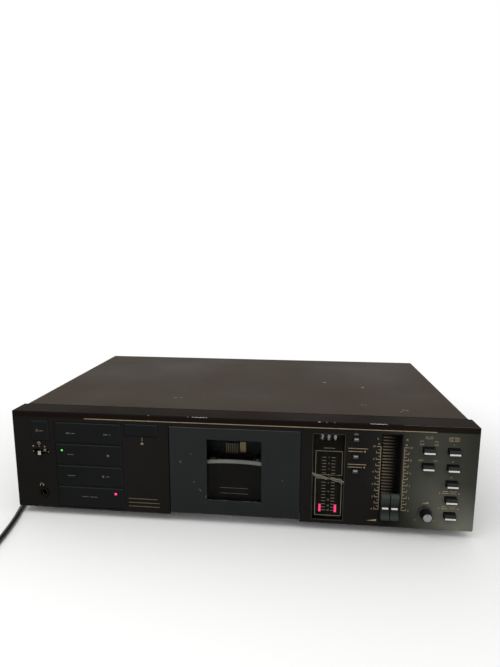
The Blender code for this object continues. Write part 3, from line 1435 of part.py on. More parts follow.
def drive_belt():
    """Flat belt round the motor's pulley and the flywheel, clear of both."""
    front = BELT_MIDDLE - BELT_WIDTH / 2
    rear = BELT_MIDDLE + BELT_WIDTH / 2
    belt = prism("drive_belt", belt_loop(CLEARANCE + BELT_THICKNESS), front, rear, upright)
    inside = prism("belt_inside", belt_loop(CLEARANCE), front - OVERRUN, rear + OVERRUN, upright)
    cut(belt, inside)
    return finish(belt, RUBBER)


# Display and controls at the right

def display_lens():
    half = LENS_WIDTH / 2 - CLEARANCE
    lens = box(
        "display_lens",
        (LENS_X - half, 0, FIELD_BOTTOM + LENS_MARGIN + CLEARANCE),
        (LENS_X + half, LENS_THICKNESS, FIELD_TOP - LENS_MARGIN - CLEARANCE),
    )
    round_edges(lens, LENS_EDGE)
    return finish(lens, CLEAR_SMOKE)


def counter_places():
    first = LENS_X - COUNTER_PITCH * (COUNTER_WHEELS - 1) / 2
    return [first + COUNTER_PITCH * number for number in range(COUNTER_WHEELS)]


COUNTER_Y = LENS_THICKNESS + METER_BEHIND_LENS + COUNTER_RADIUS


def counter_wheels():
    for number, x in enumerate(counter_places(), start=1):
        half = COUNTER_WHEEL_WIDTH / 2
        wheel = rod(
            f"counter_wheel_{number}",
            (x - half, COUNTER_Y, COUNTER_Z), (x + half, COUNTER_Y, COUNTER_Z),
            COUNTER_RADIUS, COUNTER_SIDES,
        )
        bore = rod(
            f"counter_bore_{number}",
            (x - half - OVERRUN, COUNTER_Y, COUNTER_Z), (x + half + OVERRUN, COUNTER_Y, COUNTER_Z),
            COUNTER_SHAFT_RADIUS + CLEARANCE,
        )
        cut(wheel, bore)
        finish(wheel, BLACK_MOULDING, (x, COUNTER_Y, COUNTER_Z))


def control_board():
    """Board behind the display and the right controls, with the meter, the counter's frame and switches."""
    left = column(9)[0] - CONTROL_BOARD_MARGIN
    right = HALF_PANEL - PANEL_WALL - CLEARANCE
    front = CONTROL_BOARD_DEPTH
    board = box(
        "control_board",
        (left, front, PANEL_WALL + CLEARANCE),
        (right, front + BOARD_THICKNESS, PANEL_HEIGHT - PANEL_WALL - CLEARANCE),
    )
    meter_front = LENS_THICKNESS + METER_BEHIND_LENS
    meter = box(
        "meter_block",
        (LENS_X - METER_WIDTH / 2, meter_front, FIELD_BOTTOM + FIELD_HEIGHT * METER_BOTTOM_SHARE),
        (LENS_X + METER_WIDTH / 2, front + EMBED, FIELD_BOTTOM + FIELD_HEIGHT * METER_TOP_SHARE),
    )
    outer = counter_places()[-1] + COUNTER_PITCH / 2 - LENS_X + RUNNING_CLEARANCE
    bracket_low = COUNTER_Z - COUNTER_BRACKET_HEIGHT / 2
    bracket_high = COUNTER_Z + COUNTER_BRACKET_HEIGHT / 2
    brackets = []
    for side in (-1, 1):
        near = LENS_X + side * outer
        far = near + side * COUNTER_BRACKET
        brackets.append((
            (min(near, far), COUNTER_Y - COUNTER_BRACKET_REACH, bracket_low),
            (max(near, far), front + EMBED, bracket_high),
        ))
    shaft = rod(
        "counter_shaft",
        (LENS_X - outer - COUNTER_BRACKET / 2, COUNTER_Y, COUNTER_Z),
        (LENS_X + outer + COUNTER_BRACKET / 2, COUNTER_Y, COUNTER_Z),
        COUNTER_SHAFT_RADIUS,
    )
    switches = []
    for height in small_button_heights():
        reach = SMALL_BUTTON_DEPTH + SMALL_BUTTON_TRAVEL + CLEARANCE
        switches.append(switch_block(SMALL_BUTTON_X, height, reach, SMALL_BUTTON_WIDTH))
    for x, heights in ((TAPE_X, tape_button_heights()), (NOISE_X, noise_button_heights())):
        for height in heights:
            depth = CAP_STEM_DEPTH + CAP_TRAVEL + CLEARANCE
            switches.append(switch_block(x, height, depth, CAP_STEM_WIDTH))
    switches.append(switch_block(NOISE_X, KNOB_Z, CAP_STEM_DEPTH + CLEARANCE, POT_SIZE))
    fuse(board, meter, boxes("counter_brackets", brackets), shaft, boxes("switch_blocks", switches))
    return finish(board, BOARD_GREEN)


def switch_block(x, z, depth, width):
    half = width / 2
    return (x - half, depth, z - half), (x + half, CONTROL_BOARD_DEPTH + EMBED, z + half)


def small_buttons():
    for name, z in zip(("reset_button", "memory_button", "repeat_button"), small_button_heights()):
        button = button_cap(
            name, SMALL_BUTTON_X, z, SMALL_BUTTON_WIDTH, SMALL_BUTTON_HEIGHT, SMALL_BUTTON_PROUD,
            SMALL_BUTTON_DEPTH, CAP_EDGE,
        )
        fuse(button, button_flange(name, SMALL_BUTTON_X, z, SMALL_BUTTON_WIDTH, SMALL_BUTTON_HEIGHT))
        finish(button, BLACK_MOULDING, (SMALL_BUTTON_X, 0, z))


def push_button(name, x, z):
    """Cap that stands out of the panel, with a flange behind the plate and a stem to its switch."""
    button = button_cap(name, x, z, CAP_WIDTH, CAP_HEIGHT, CAP_PROUD, FLANGE_DEPTH + EMBED, CAP_EDGE)
    stem = box(
        name + "_stem",
        (x - CAP_STEM_WIDTH / 2, FLANGE_DEPTH, z - CAP_STEM_HEIGHT / 2),
        (x + CAP_STEM_WIDTH / 2, CAP_STEM_DEPTH, z + CAP_STEM_HEIGHT / 2),
    )
    fuse(button, button_flange(name, x, z, CAP_WIDTH, CAP_HEIGHT), stem)
    return finish(button, BLACK_MOULDING, (x, 0, z))


def push_buttons():
    for number, z in enumerate(tape_button_heights(), start=1):
        push_button(f"tape_button_{number}", TAPE_X, z)
    for number, z in enumerate(noise_button_heights(), start=1):
        push_button(f"noise_button_{number}", NOISE_X, z)


def fader_body():
    """Deep tray in the panel, ribbed across its back, with a slot for each slider's stem."""
    half = FADER_WIDTH / 2 - CLEARANCE
    low = FADER_BOTTOM + CLEARANCE
    high = FADER_TOP - CLEARANCE
    tray = box("fader_body", (FADER_X - half, 0, low), (FADER_X + half, FADER_DEPTH, high))
    inner_half = half - FADER_WALL
    back = FADER_DEPTH - FADER_BACK
    inside_low = low + FADER_WALL
    inside_high = high - FADER_WALL
    ribs = int((inside_high - inside_low - FADER_RIB_PITCH) / FADER_RIB_PITCH)
    outline = [(-OVERRUN, inside_low), (back, inside_low)]
    for rib in range(ribs):
        start = inside_low + FADER_RIB_PITCH * (rib + 1)
        outline += [
            (back, start),
            (back - FADER_RIB_DEPTH, start),
            (back - FADER_RIB_DEPTH, start + FADER_RIB_HEIGHT),
            (back, start + FADER_RIB_HEIGHT),
        ]
    outline += [(back, inside_high), (-OVERRUN, inside_high)]
    hollow = prism("fader_hollow", outline, FADER_X - inner_half, FADER_X + inner_half, sideways)
    slot_half = SLIDER_STEM_WIDTH / 2 + CLEARANCE
    slot_front = back - FADER_RIB_DEPTH - OVERRUN
    slots = [
        (
            (x - slot_half, slot_front, inside_low + FADER_WALL),
            (x + slot_half, FADER_DEPTH + OVERRUN, inside_high - FADER_WALL),
        )
        for x in (FADER_X - SLIDER_STEM_OFFSET, FADER_X + SLIDER_STEM_OFFSET)
    ]
    cut(tray, hollow, boxes("fader_slots", slots))
    return finish(tray, BLACK_MOULDING)


def level_sliders():
    """Saddle-shaped caps, each on a stem through its own slot."""
    for side, name in ((-1, "level_slider_left"), (1, "level_slider_right")):
        x = FADER_X + side * SLIDER_OFFSET
        low = SLIDER_BOTTOM
        high = low + SLIDER_HEIGHT
        saddle = []
        for step in range(SLIDER_DIP_POINTS):
            share = step / (SLIDER_DIP_POINTS - 1)
            dip = SLIDER_DIP * math.sin(math.pi * share) ** 2
            saddle.append((-SLIDER_PROUD + dip, high - SLIDER_HEIGHT * share))
        outline = [(SLIDER_IN_RECESS, low), (SLIDER_IN_RECESS, high), *saddle]
        cap = prism(name, outline, x - SLIDER_WIDTH / 2, x + SLIDER_WIDTH / 2, sideways)
        round_edges(cap, CAP_EDGE)
        stem_left = FADER_X + side * SLIDER_STEM_OFFSET - SLIDER_STEM_WIDTH / 2
        stem_rear = FADER_DEPTH + SLIDER_STEM_REACH
        stem_z = (low + high) / 2
        stem = box(
            name + "_stem",
            (stem_left, SLIDER_IN_RECESS - EMBED, stem_z - SLIDER_STEM_HEIGHT / 2),
            (stem_left + SLIDER_STEM_WIDTH, stem_rear, stem_z + SLIDER_STEM_HEIGHT / 2),
        )
        fuse(cap, stem)
        finish(cap, BLACK_MOULDING, (x, 0, stem_z))


def output_knob():
    """Tapered knob on a shaft that reaches its potentiometer."""
    knob = turned(
        "output_knob",
        [
            (0, -KNOB_PROUD),
            (KNOB_FRONT_RADIUS - KNOB_EDGE, -KNOB_PROUD),
            (KNOB_FRONT_RADIUS, -KNOB_PROUD + KNOB_EDGE),
            (KNOB_RADIUS - KNOB_EDGE, -CLEARANCE - KNOB_SKIRT),
            (KNOB_RADIUS, -CLEARANCE - KNOB_SKIRT + KNOB_EDGE),
            (KNOB_RADIUS, -CLEARANCE),
            (KNOB_SHAFT_RADIUS, -CLEARANCE),
            (KNOB_SHAFT_RADIUS, CAP_STEM_DEPTH),
            (0, CAP_STEM_DEPTH),
        ],
        across(NOISE_X, KNOB_Z),
    )
    return finish(knob, BLACK_MOULDING, (NOISE_X, 0, KNOB_Z))


# Inside at the back

def main_board():
    """Circuit board on its stand-offs, with capacitors and a finned heat sink."""
    board = box("main_board", (BOARD_LEFT, BOARD_FRONT, BOARD_BOTTOM), (BOARD_RIGHT, BOARD_REAR, BOARD_TOP))
    row_y = (BOARD_FRONT + BOARD_REAR) / 2
    cans = rods(
        "capacitors",
        [
            ((x, row_y, BOARD_TOP - EMBED), (x, row_y, BOARD_TOP + CAPACITOR_HEIGHT))
            for x in (BOARD_LEFT + CAPACITOR_PITCH * (number + 1) for number in range(CAPACITORS))
        ],
        CAPACITOR_RADIUS,
    )
    sink_left = BOARD_RIGHT - HEAT_SINK_LENGTH - CAPACITOR_PITCH
    sink = box(
        "heat_sink",
        (sink_left, row_y, BOARD_TOP - EMBED),
        (sink_left + HEAT_SINK_LENGTH, row_y + HEAT_SINK_BACK, BOARD_TOP + HEAT_SINK_HEIGHT),
    )
    fin_pitch = (HEAT_SINK_LENGTH - HEAT_SINK_FIN) / (HEAT_SINK_FINS - 1)
    fins = [
        (
            (x, row_y - HEAT_SINK_FIN_REACH, BOARD_TOP - EMBED),
            (x + HEAT_SINK_FIN, row_y + EMBED, BOARD_TOP + HEAT_SINK_HEIGHT),
        )
        for x in (sink_left + fin_pitch * number for number in range(HEAT_SINK_FINS))
    ]
    fuse(board, cans, sink, boxes("sink_fins", fins))
    return finish(board, BOARD_GREEN)


def transformer():
    """Laminated core with the winding standing out of it on both sides."""
    left = TRANSFORMER_LEFT
    rear = CHASSIS_REAR - TRANSFORMER_FROM_REAR
    low = CHASSIS_TOP + CLEARANCE
    core_half = TRANSFORMER_LENGTH * TRANSFORMER_CORE_SHARE / 2
    centre = rear - TRANSFORMER_LENGTH / 2
    core = box(
        "transformer",
        (left, centre - core_half, low),
        (left + TRANSFORMER_WIDTH, centre + core_half, low + TRANSFORMER_HEIGHT),
    )
    winding = box(
        "winding",
        (left + TRANSFORMER_COIL_BORDER, rear - TRANSFORMER_LENGTH, low + TRANSFORMER_COIL_BORDER),
        (
            left + TRANSFORMER_WIDTH - TRANSFORMER_COIL_BORDER,
            rear,
            low + TRANSFORMER_HEIGHT - TRANSFORMER_COIL_BORDER,
        ),
    )
    round_edges(winding, PANEL_WALL)
    fuse(core, winding)
    return finish(core, IRON)


def phono_places():
    half = PHONO_PITCH / 2
    columns = PHONO_JACKS // 2
    return [
        (PHONO_X + PHONO_PITCH * (place - (columns - 1) / 2), PHONO_HEIGHT + row * half)
        for place in range(columns)
        for row in (-1, 1)
    ]


def jack_block():
    """Moulded block inside the rear panel, with four round jacks through it."""
    xs = [x for x, _ in phono_places()]
    zs = [z for _, z in phono_places()]
    border = PHONO_BLOCK_HEIGHT / 2
    block = box(
        "jack_block",
        (min(xs) - border, REAR_INNER - CLEARANCE - PHONO_BLOCK_DEPTH, min(zs) - border),
        (max(xs) + border, REAR_INNER - CLEARANCE, max(zs) + border),
    )
    front = REAR_INNER - CLEARANCE - EMBED
    jacks = rods(
        "phono_jacks",
        [((x, front, z), (x, JACKS_REAR, z)) for x, z in phono_places()],
        PHONO_RADIUS,
    )
    bores = rods(
        "phono_bores",
        [((x, REAR_OUTER, z), (x, JACKS_REAR + OVERRUN, z)) for x, z in phono_places()],
        PHONO_BORE_RADIUS,
    )
    fuse(block, jacks)
    cut(block, bores)
    return finish(block, BLACK_MOULDING)


# Mains lead

def cord_gland():
    """Strain relief: a plug in the rear panel's hole, a collar outside and a tapered sleeve."""
    inside = REAR_INNER - GLAND_COLLAR
    collar_start = REAR_OUTER + CLEARANCE
    collar_end = collar_start + GLAND_COLLAR
    body = turned(
        "cord_gland",
        [
            (0, inside),
            (GLAND_RADIUS, inside),
            (GLAND_RADIUS, collar_start),
            (GLAND_COLLAR_RADIUS, collar_start),
            (GLAND_COLLAR_RADIUS, collar_end),
            (GLAND_RADIUS, collar_end),
            (RELIEF_END_RADIUS, collar_end + RELIEF_LENGTH),
            (0, collar_end + RELIEF_LENGTH),
        ],
        across(GLAND_X, GLAND_HEIGHT),
        SMALL_SIDES,
    )
    return finish(body, PVC)


def smooth(points, spacing):
    """Points every spacing along a smooth curve through the route, straight in its first and last runs."""
    places = [Vector(point) for point in points]
    fine = []
    for p0, p1, p2, p3 in zip(places, places[1:], places[2:], places[3:]):
        for step in range(SMOOTHING_STEPS):
            t = step / SMOOTHING_STEPS
            fine.append(0.5 * (
                2 * p1 + (p2 - p0) * t + (2 * p0 - 5 * p1 + 4 * p2 - p3) * t ** 2
                + (3 * p1 - p0 - 3 * p2 + p3) * t ** 3
            ))
    fine.append(places[-2])
    travelled = [0]
    for before, after in zip(fine, fine[1:]):
        travelled.append(travelled[-1] + (after - before).length)
    count = max(2, round(travelled[-1] / spacing))
    picked = []
    index = 0
    for number in range(count + 1):
        wanted = travelled[-1] * number / count
        while index < len(fine) - 2 and travelled[index + 1] < wanted:
            index += 1
        share = (wanted - travelled[index]) / (travelled[index + 1] - travelled[index])
        picked.append(fine[index].lerp(fine[index + 1], share))
    return [places[0], *picked, places[-1]]


def coil_points():
    """Clockwise in plan from the right side: inward on the floor, then up, then outward on top."""
    step = CORD_DIAMETER + COIL_TURN_GAP
    climb = COIL_CLIMB_TURNS
    turn_back = COIL_LAYER_TURNS + climb / 2
    outer = COIL_MIDDLE_RADIUS + step * turn_back / 2
    low = FLOOR_GAP + CORD_RADIUS
    places = []
    for number in range(round(2 * turn_back * COIL_LOOP_POINTS) + 1):
        turns = number / COIL_LOOP_POINTS
        radius = outer - step * min(turns, 2 * turn_back - turns)
        climbed = min(max((turns - COIL_LAYER_TURNS) / climb, 0), 1)
        lift = step * (1 - math.cos(math.pi * climbed)) / 2
        angle = -2 * math.pi * turns
        from_left = COIL_CENTRE[0] + radius * math.cos(angle)
        from_front = COIL_CENTRE[1] + radius * math.sin(angle)
        places.append(Vector((from_left, from_front, low + lift)))
    start = places[0] + Vector((0, CORD_DIAMETER, 0))
    end = places[-1] + Vector((0, CORD_DIAMETER, 0))
    return [start, *places, end]


def least_gap(points, diameter):
    """Smallest free distance between stretches of the coil that aren't neighbours along it."""
    apart = COIL_LOOP_POINTS // 2
    return min(
        (points[here] - points[there]).length - diameter
        for here in range(len(points))
        for there in range(here + apart, len(points))
    )


def length(points):
    return sum((after - before).length for before, after in zip(points, points[1:]))


def tube(name, points, radius, resolution):
    """Round tube with closed ends through the given points."""
    curve = bpy.data.curves.new(name, "CURVE")
    curve.dimensions = "3D"
    curve.bevel_depth = radius
    curve.bevel_resolution = resolution
    curve.use_fill_caps = True
    spline = curve.splines.new("POLY")
    spline.points.add(len(points) - 1)
    for slot, place in zip(spline.points, points):
        slot.co = (*place, 1)
    made = bpy.data.objects.new(name, curve)
    bpy.context.scene.collection.objects.link(made)
    return finish(made, PVC)


def mains_lead():
    """Free stretch from the strain relief to the coil, the coil, and the plug at its end."""
    coil = coil_points()
    print("least gap of the coil to itself in metres:", round(least_gap(coil, CORD_DIAMETER), 6))
    relief_end = Vector((
        GLAND_X,
        FACE_Y + REAR_OUTER + CLEARANCE + GLAND_COLLAR + RELIEF_LENGTH + CLEARANCE,
        FOOT_CLEARANCE + GLAND_HEIGHT,
    ))
    straight = Vector((0, CORD_LEAD, 0))
    arrival = coil[0] + Vector((0, CLEARANCE, 0))
    route = [relief_end, relief_end + straight, *CORD_ROUTE, arrival + straight, arrival]
    stretch = smooth(route, CORD_POINT_SPACING)
    tube("power_cord", stretch, CORD_RADIUS, 2)
    tube("cord_coil", coil, CORD_RADIUS, 1)
    print("length of the free stretch in metres:", round(length(stretch), 3))
    print("length of the coil in metres:", round(length(coil), 3))
    plug(coil[-1] + Vector((0, CLEARANCE, 0)))


def plug(start):
    """Flat two-pin plug lying beside the coil, pointing away from it."""
    sleeve_end = start + Vector((0, PLUG_RELIEF_LENGTH, 0))
    sleeve = cone(
        "plug",
        start, sleeve_end + Vector((0, EMBED, 0)),
        PLUG_RELIEF_START_RADIUS, PLUG_RELIEF_END_RADIUS, SMALL_SIDES,
    )
    rear = sleeve_end.y
    front = rear + PLUG_LENGTH
    taper = rear + PLUG_LENGTH * PLUG_TAPER_SHARE
    outline = [
        (start.x - PLUG_REAR_WIDTH / 2, rear),
        (start.x + PLUG_REAR_WIDTH / 2, rear),
        (start.x + PLUG_WIDTH / 2, taper),
        (start.x + PLUG_WIDTH / 2, front),
        (start.x - PLUG_WIDTH / 2, front),
        (start.x - PLUG_WIDTH / 2, taper),
    ]
    middle_z = max(start.z, FLOOR_GAP + PLUG_THICKNESS / 2)
    body = prism(
        "plug_body", outline, middle_z - PLUG_THICKNESS / 2, middle_z + PLUG_THICKNESS / 2,
        lambda x, y, along: (x, y, along),
    )
    round_edges(body, PLUG_EDGE)
    pins = rods(
        "plug_pins",
        [
            ((x, front - OVERRUN, middle_z), (x, front + PIN_LENGTH, middle_z))
            for x in (start.x - PIN_SPACING / 2, start.x + PIN_SPACING / 2)
        ],
        PIN_RADIUS,
    )
    fuse(sleeve, body, pins)
    finish(sleeve, PVC)
    for loose in (sleeve, body, pins):
        loose.parent = None


def build():
    front_panel()
    top_cover()
    bottom_chassis()
    rear_panel()
    cover_screws()
    feet()
    power_button()
    timer_lever()
    phones_jack()
    transport_keys()
    key_board()
    eject_button()
    cassette_door()
    door_window()
    cassette_holder()
    mechanism_plate()
    head_slide()
    reel("supply_reel", SUPPLY_X)
    reel("takeup_reel", TAKEUP_X)
    capstan_flywheel()
    pinch_arm()
    pinch_roller()
    capstan_motor()
    motor_pulley()
    drive_belt()
    display_lens()
    counter_wheels()
    control_board()
    small_buttons()
    push_buttons()
    fader_body()
    level_sliders()
    output_knob()
    main_board()
    transformer()
    jack_block()
    cord_gland()
    mains_lead()


build()
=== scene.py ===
"""Cassette deck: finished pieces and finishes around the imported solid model, laid out as a Blender add-on.

Shapes are worked out in millimetres from the middle of the front panel's lower edge: x to the right, depth
behind the panel's face, height above its lower edge. They turn into metres as each mesh is made.
"""

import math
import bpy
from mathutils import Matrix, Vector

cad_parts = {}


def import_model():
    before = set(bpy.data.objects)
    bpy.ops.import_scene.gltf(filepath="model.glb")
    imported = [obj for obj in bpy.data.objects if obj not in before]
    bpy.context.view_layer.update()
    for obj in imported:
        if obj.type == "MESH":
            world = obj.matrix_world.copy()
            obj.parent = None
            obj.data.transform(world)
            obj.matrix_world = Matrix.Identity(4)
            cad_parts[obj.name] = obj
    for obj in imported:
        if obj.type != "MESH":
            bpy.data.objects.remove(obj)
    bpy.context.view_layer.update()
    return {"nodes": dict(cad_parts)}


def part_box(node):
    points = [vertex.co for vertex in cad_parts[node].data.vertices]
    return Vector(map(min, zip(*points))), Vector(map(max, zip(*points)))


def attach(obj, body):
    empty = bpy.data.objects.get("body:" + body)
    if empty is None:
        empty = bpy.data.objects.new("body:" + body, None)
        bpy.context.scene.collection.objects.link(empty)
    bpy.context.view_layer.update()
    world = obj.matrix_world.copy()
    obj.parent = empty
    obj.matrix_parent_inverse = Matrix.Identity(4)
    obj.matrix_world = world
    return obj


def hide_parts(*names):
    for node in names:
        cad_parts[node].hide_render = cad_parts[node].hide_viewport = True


bl_info = {
    "name": "Cassette Deck Looks",
    "version": (1, 0, 0),
    "blender": (4, 5, 0),
    "location": "3D View > Sidebar > Cassette Deck",
    "description": "Builds the visible pieces and the finishes of a front-loading cassette deck",
    "category": "Object",
}

import bmesh
import bpy
import numpy as np
from bpy.props import FloatProperty, FloatVectorProperty, PointerProperty

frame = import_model()
MM = 0.001
PANEL_CORNER = np.array(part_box("front_panel")[0]) * (0, 1, 1)
CUBE = np.array([(x, y, z) for z in (0, 1) for x, y in ((0, 0), (1, 0), (1, 1), (0, 1))])
CUBE_FACES = np.array([(0, 3, 2, 1), (4, 5, 6, 7), (0, 1, 5, 4), (1, 2, 6, 5), (2, 3, 7, 6), (3, 0, 4, 7)])
INK_PROUD = 0.03
INK_SUNK = 0.05
LONG_LINE = 92.4
KEY_DISH = 0.06
SHARP_DEGREES = 35


# Sizes and colours

def linear(code):
    """Linear colour with full alpha of an sRGB hex value."""
    srgb = np.array([int(code[start:start + 2], 16) for start in (1, 3, 5)]) / 255
    rgb = np.where(srgb <= 0.04045, srgb / 12.92, ((srgb + 0.055) / 1.055) ** 2.4)
    return (*rgb.tolist(), 1.0)


def grey(share):
    """Linear grey of a share of white, with full alpha."""
    return (share, share, share, 1.0)


def size(name, description, millimetres):
    """A length that a user may change, kept in metres."""
    return FloatProperty(name=name, description=description, default=millimetres * MM, min=0.0, unit="LENGTH")


def tint(name, description, code):
    """A colour that a user may change, written as sRGB hex and kept linear."""
    return FloatVectorProperty(
        name=name, description=description, default=linear(code), size=4, min=0.0, max=1.0, subtype="COLOR",
    )


def power(name, description, watts):
    """The strength of a lamp."""
    return FloatProperty(name=name, description=description, default=watts, min=0.0, unit="POWER")


class DeckSizes(bpy.types.PropertyGroup):
    """Lengths of the finished pieces."""

    lead_width: size("Lead diameter", "Outside diameter of the mains lead", 4.6)
    key_edge: size("Key edge", "Rounding along the front edges of the transport keys", 0.9)
    cap_edge: size("Cap edge", "Rounding along the front edges of the small caps", 0.6)
    bar_height: size("White bar", "Height of the white bar on a cap", 1.5)
    line_height: size("Long line", "Height of the line under the panel's lip", 0.6)
    figure_height: size("Figures", "Height of the printed figures", 2.0)
    scale_step: size("Scale step", "Distance between two ticks of the level scales", 3.0)
    digit_height: size("Counter digits", "Height of the digits on the counter drums", 3.2)
    rib_pitch: size("Slider ribs", "Distance between the fine ribs on the slider caps", 1.1)


class DeckColours(bpy.types.PropertyGroup):
    """Colours of the finishes."""

    panel: tint("Panel", "Satin paint of the front panel", "#21201e")
    # Painted sheen: this pale tone, laid over the panel's right end, stands in for a reflection.
    haze: tint("Haze", "Polishing haze towards the panel's right end", "#8a8b7e")
    cover: tint("Cover", "Baked enamel of the top cover", "#31271c")
    door: tint("Door", "Blue-black face of the cassette door", "#101415")
    moulding: tint("Moulding", "Black moulded keys and caps", "#0c0d0e")
    # Painted highlight: this grey lies on the upward- and right-facing edges of keys and door.
    rubbed: tint("Rubbed edges", "Edges of keys and door that fingers have rubbed", "#3b3e3e")
    holder: tint("Holder", "Moulding of the cassette holder", "#12110f")
    # Painted highlight: this band stands in for light falling on the holder's top ledge.
    rim: tint("Holder rim", "Light band along the holder's top edge", "#7b7c76")
    acrylic: tint("Acrylic", "Smoked acrylic of the window and the display", "#080808")
    gold: tint("Gold ink", "Printed lines and marks on the panel", "#a8957a")
    white: tint("White", "White bars, index lines and digits", "#efefe9")
    key_ink: tint("Key ink", "Marks printed on the keys", "#5a5952")
    knob_disc: tint("Knob disc", "Light disc in the knob's front", "#9a9c9c")
    lit_red: tint("Lit red", "Lit bars and the recording lamp", "#ff3a78")
    lit_green: tint("Lit green", "Playing lamp", "#6cf062")
    board: tint("Board", "Laminate of the circuit boards", "#5c4c28")


class DeckLight(bpy.types.PropertyGroup):
    """Strength of the studio's lamps."""

    key: power("Key lamp", "Large soft lamp above and in front", 9.0)
    side: power("Side lamp", "Small low lamp in front of the panel's right end", 0.14)
    sky: FloatProperty(name="Sky", description="Even light from all round", default=0.84, min=0.0)


def lengths():
    """The sizes as a user has set them, in millimetres."""
    group = bpy.context.scene.deck_sizes
    return {name: getattr(group, name) / MM for name in DeckSizes.__annotations__}


def colour(name):
    """One colour as a user has set it."""
    return np.array(getattr(bpy.context.scene.deck_colours, name))


# Places in the solid model

def to_panel(points):
    """World metres as panel millimetres."""
    return (np.asarray(points) - PANEL_CORNER) / MM


def world(axis, place):
    """A place along x, y or z in panel millimetres as world metres."""
    return PANEL_CORNER["xyz".index(axis)] + place * MM


def corners_of(node):
    """Every corner of a solid part, in panel millimetres."""
    mesh = frame["nodes"][node].data
    flat = np.empty(len(mesh.vertices) * 3, np.float32)
    mesh.vertices.foreach_get("co", flat)
    return to_panel(flat.reshape(-1, 3).astype(float))


def span(node, least=-np.inf, most=np.inf):
    """Lowest and highest corner of the stretch of a part whose depth lies between two values."""
    points = corners_of(node)
    points = points[(points[:, 1] >= least) & (points[:, 1] <= most)]
    return points.min(axis=0), points.max(axis=0)


def collar_span(node):
    """Box of the flange that keeps a cap behind the panel: the depths at which the part is widest."""
    points = corners_of(node)
    widest = points[np.abs(points[:, 0] - points[:, 0].min()) < 0.05]
    low, high = points.min(axis=0), points.max(axis=0)
    low[1], high[1] = widest[:, 1].min(), widest[:, 1].max()
    return low, high


KEY_FACE = span("transport_key_1")[0][1] + KEY_DISH


# Shapes: points, then the corners of every face one after another, then the number of corners of each face

def join(*shapes):
    """Several shapes as one: corner numbers move up by the points that come before."""
    points, corners, counts, before = [], [], [], 0
    for own_points, own_corners, own_counts in shapes:
        points.append(own_points)
        corners.append(own_corners + before)
        counts.append(own_counts)
        before += len(own_points)
    return np.vstack(points), np.concatenate(corners), np.concatenate(counts)


def skin(rings):
    """Closed surface over rings[along, around]: quads join each ring to the next and a flat face shuts each
    end."""
    rows, count = rings.shape[:2]
    index = np.arange(rows * count).reshape(rows, count)
    after = np.roll(index, -1, axis=1)
    quads = np.stack((index[:-1], after[:-1], after[1:], index[1:]), axis=-1)
    corners = np.concatenate((quads.ravel(), index[0][::-1], index[-1]))
    counts = np.concatenate((np.full(quads.size // 4, 4), (count, count)))
    return rings.reshape(-1, 3), corners, counts


def hoop(rings):
    """Closed surface over rings that come back to the first one, so that it has no ends."""
    rows, count = rings.shape[:2]
    index = np.arange(rows * count).reshape(rows, count)
    after = np.roll(index, -1, axis=1)
    following = np.roll(index, -1, axis=0)
    quads = np.stack((index, after, np.roll(after, -1, axis=0), following), axis=-1)
    return rings.reshape(-1, 3), quads.ravel(), np.full(rows * count, 4)


def blocks(lows, highs):
    """Plain bars: every corner takes the low or the high value along each axis."""
    lows, highs = np.broadcast_arrays(np.atleast_2d(lows), np.atleast_2d(highs))
    points = np.where(CUBE[None] == 1, highs[:, None], lows[:, None]).astype(float)
    faces = CUBE_FACES[None] + len(CUBE) * np.arange(len(lows))[:, None, None]
    return points.reshape(-1, 3), faces.ravel(), np.full(len(CUBE_FACES) * len(lows), 4)


def unit(angle):
    """Points of the circle of radius one at some angles."""
    return np.column_stack((np.cos(angle), np.sin(angle)))


def rounded(width, height, radius, steps=5):
    """Outline of a rectangle with round corners: quarter circles about the four corner centres."""
    turn = np.linspace(0, np.pi / 2, steps + 1)
    angles = (np.arange(4)[:, None] * np.pi / 2 + turn).ravel()
    signs = np.repeat(((1, 1), (-1, 1), (-1, -1), (1, -1)), steps + 1, axis=0)
    centres = signs * (np.array((width, height)) / 2 - radius)
    return centres + radius * unit(angles)


def upright(outline, x, height, depth):
    """An outline of x and height values round a place, at one depth or at a depth for each point."""
    depths = np.broadcast_to(depth, len(outline))
    return np.column_stack((x + outline[:, 0], depths, height + outline[:, 1]))


def slab(outline, x, height, front, back):
    """An upright outline carried straight back from one depth to another."""
    return skin(np.stack((upright(outline, x, height, front), upright(outline, x, height, back))))


def pad(low, high, corner, edge, dish=0.0, lean=0.0, steps=5):
    """Front of a cap: a round-cornered outline comes forward, draws in along a quarter circle of radius
    edge, and runs to the middle in rings that sink by dish. The face leans back by lean from foot to top."""
    width, _, height = high - low
    x, _, z = (low + high) / 2
    turn = np.linspace(0, np.pi / 2, steps + 1)
    insets = np.concatenate(((0,), edge * (1 - np.cos(turn))))
    depths = np.concatenate(((high[1],), low[1] + edge * (1 - np.sin(turn))))
    rings = []
    for inset, depth in zip(insets, depths):
        outline = rounded(width - 2 * inset, height - 2 * inset, max(corner - inset, 0.05))
        slope = lean * (outline[:, 1] / height + 0.5) * (depth < high[1])
        rings.append(upright(outline, x, z, depth + slope))
    face = rounded(width - 2 * edge, height - 2 * edge, max(corner - edge, 0.05))
    for share in (0.9, 0.7, 0.45, 0.2):
        outline = face * share
        slope = lean * (outline[:, 1] / height + 0.5)
        rings.append(upright(outline, x, z, low[1] + slope + dish * (1 - share ** 2)))
    return skin(np.stack(rings))


def press_cap(node, corner, edge, dish=0.0, lean=0.0):
    """A whole button after its solid: the shaped front, the flange behind the panel, and the stem."""
    front_low, front_high = span(node, most=0.0)
    flange_low, flange_high = collar_span(node)
    back = span(node)[1][1]
    stem_low, stem_high = span(node, least=back - 0.05)
    front_high[1] = flange_low[1]
    stem_low[1], stem_high[1] = flange_high[1], back
    shapes = [pad(front_low, front_high, corner, edge, dish, lean), blocks(flange_low, flange_high)]
    if stem_high[1] > stem_low[1]:
        shapes.append(blocks(stem_low, stem_high))
    return join(*shapes)


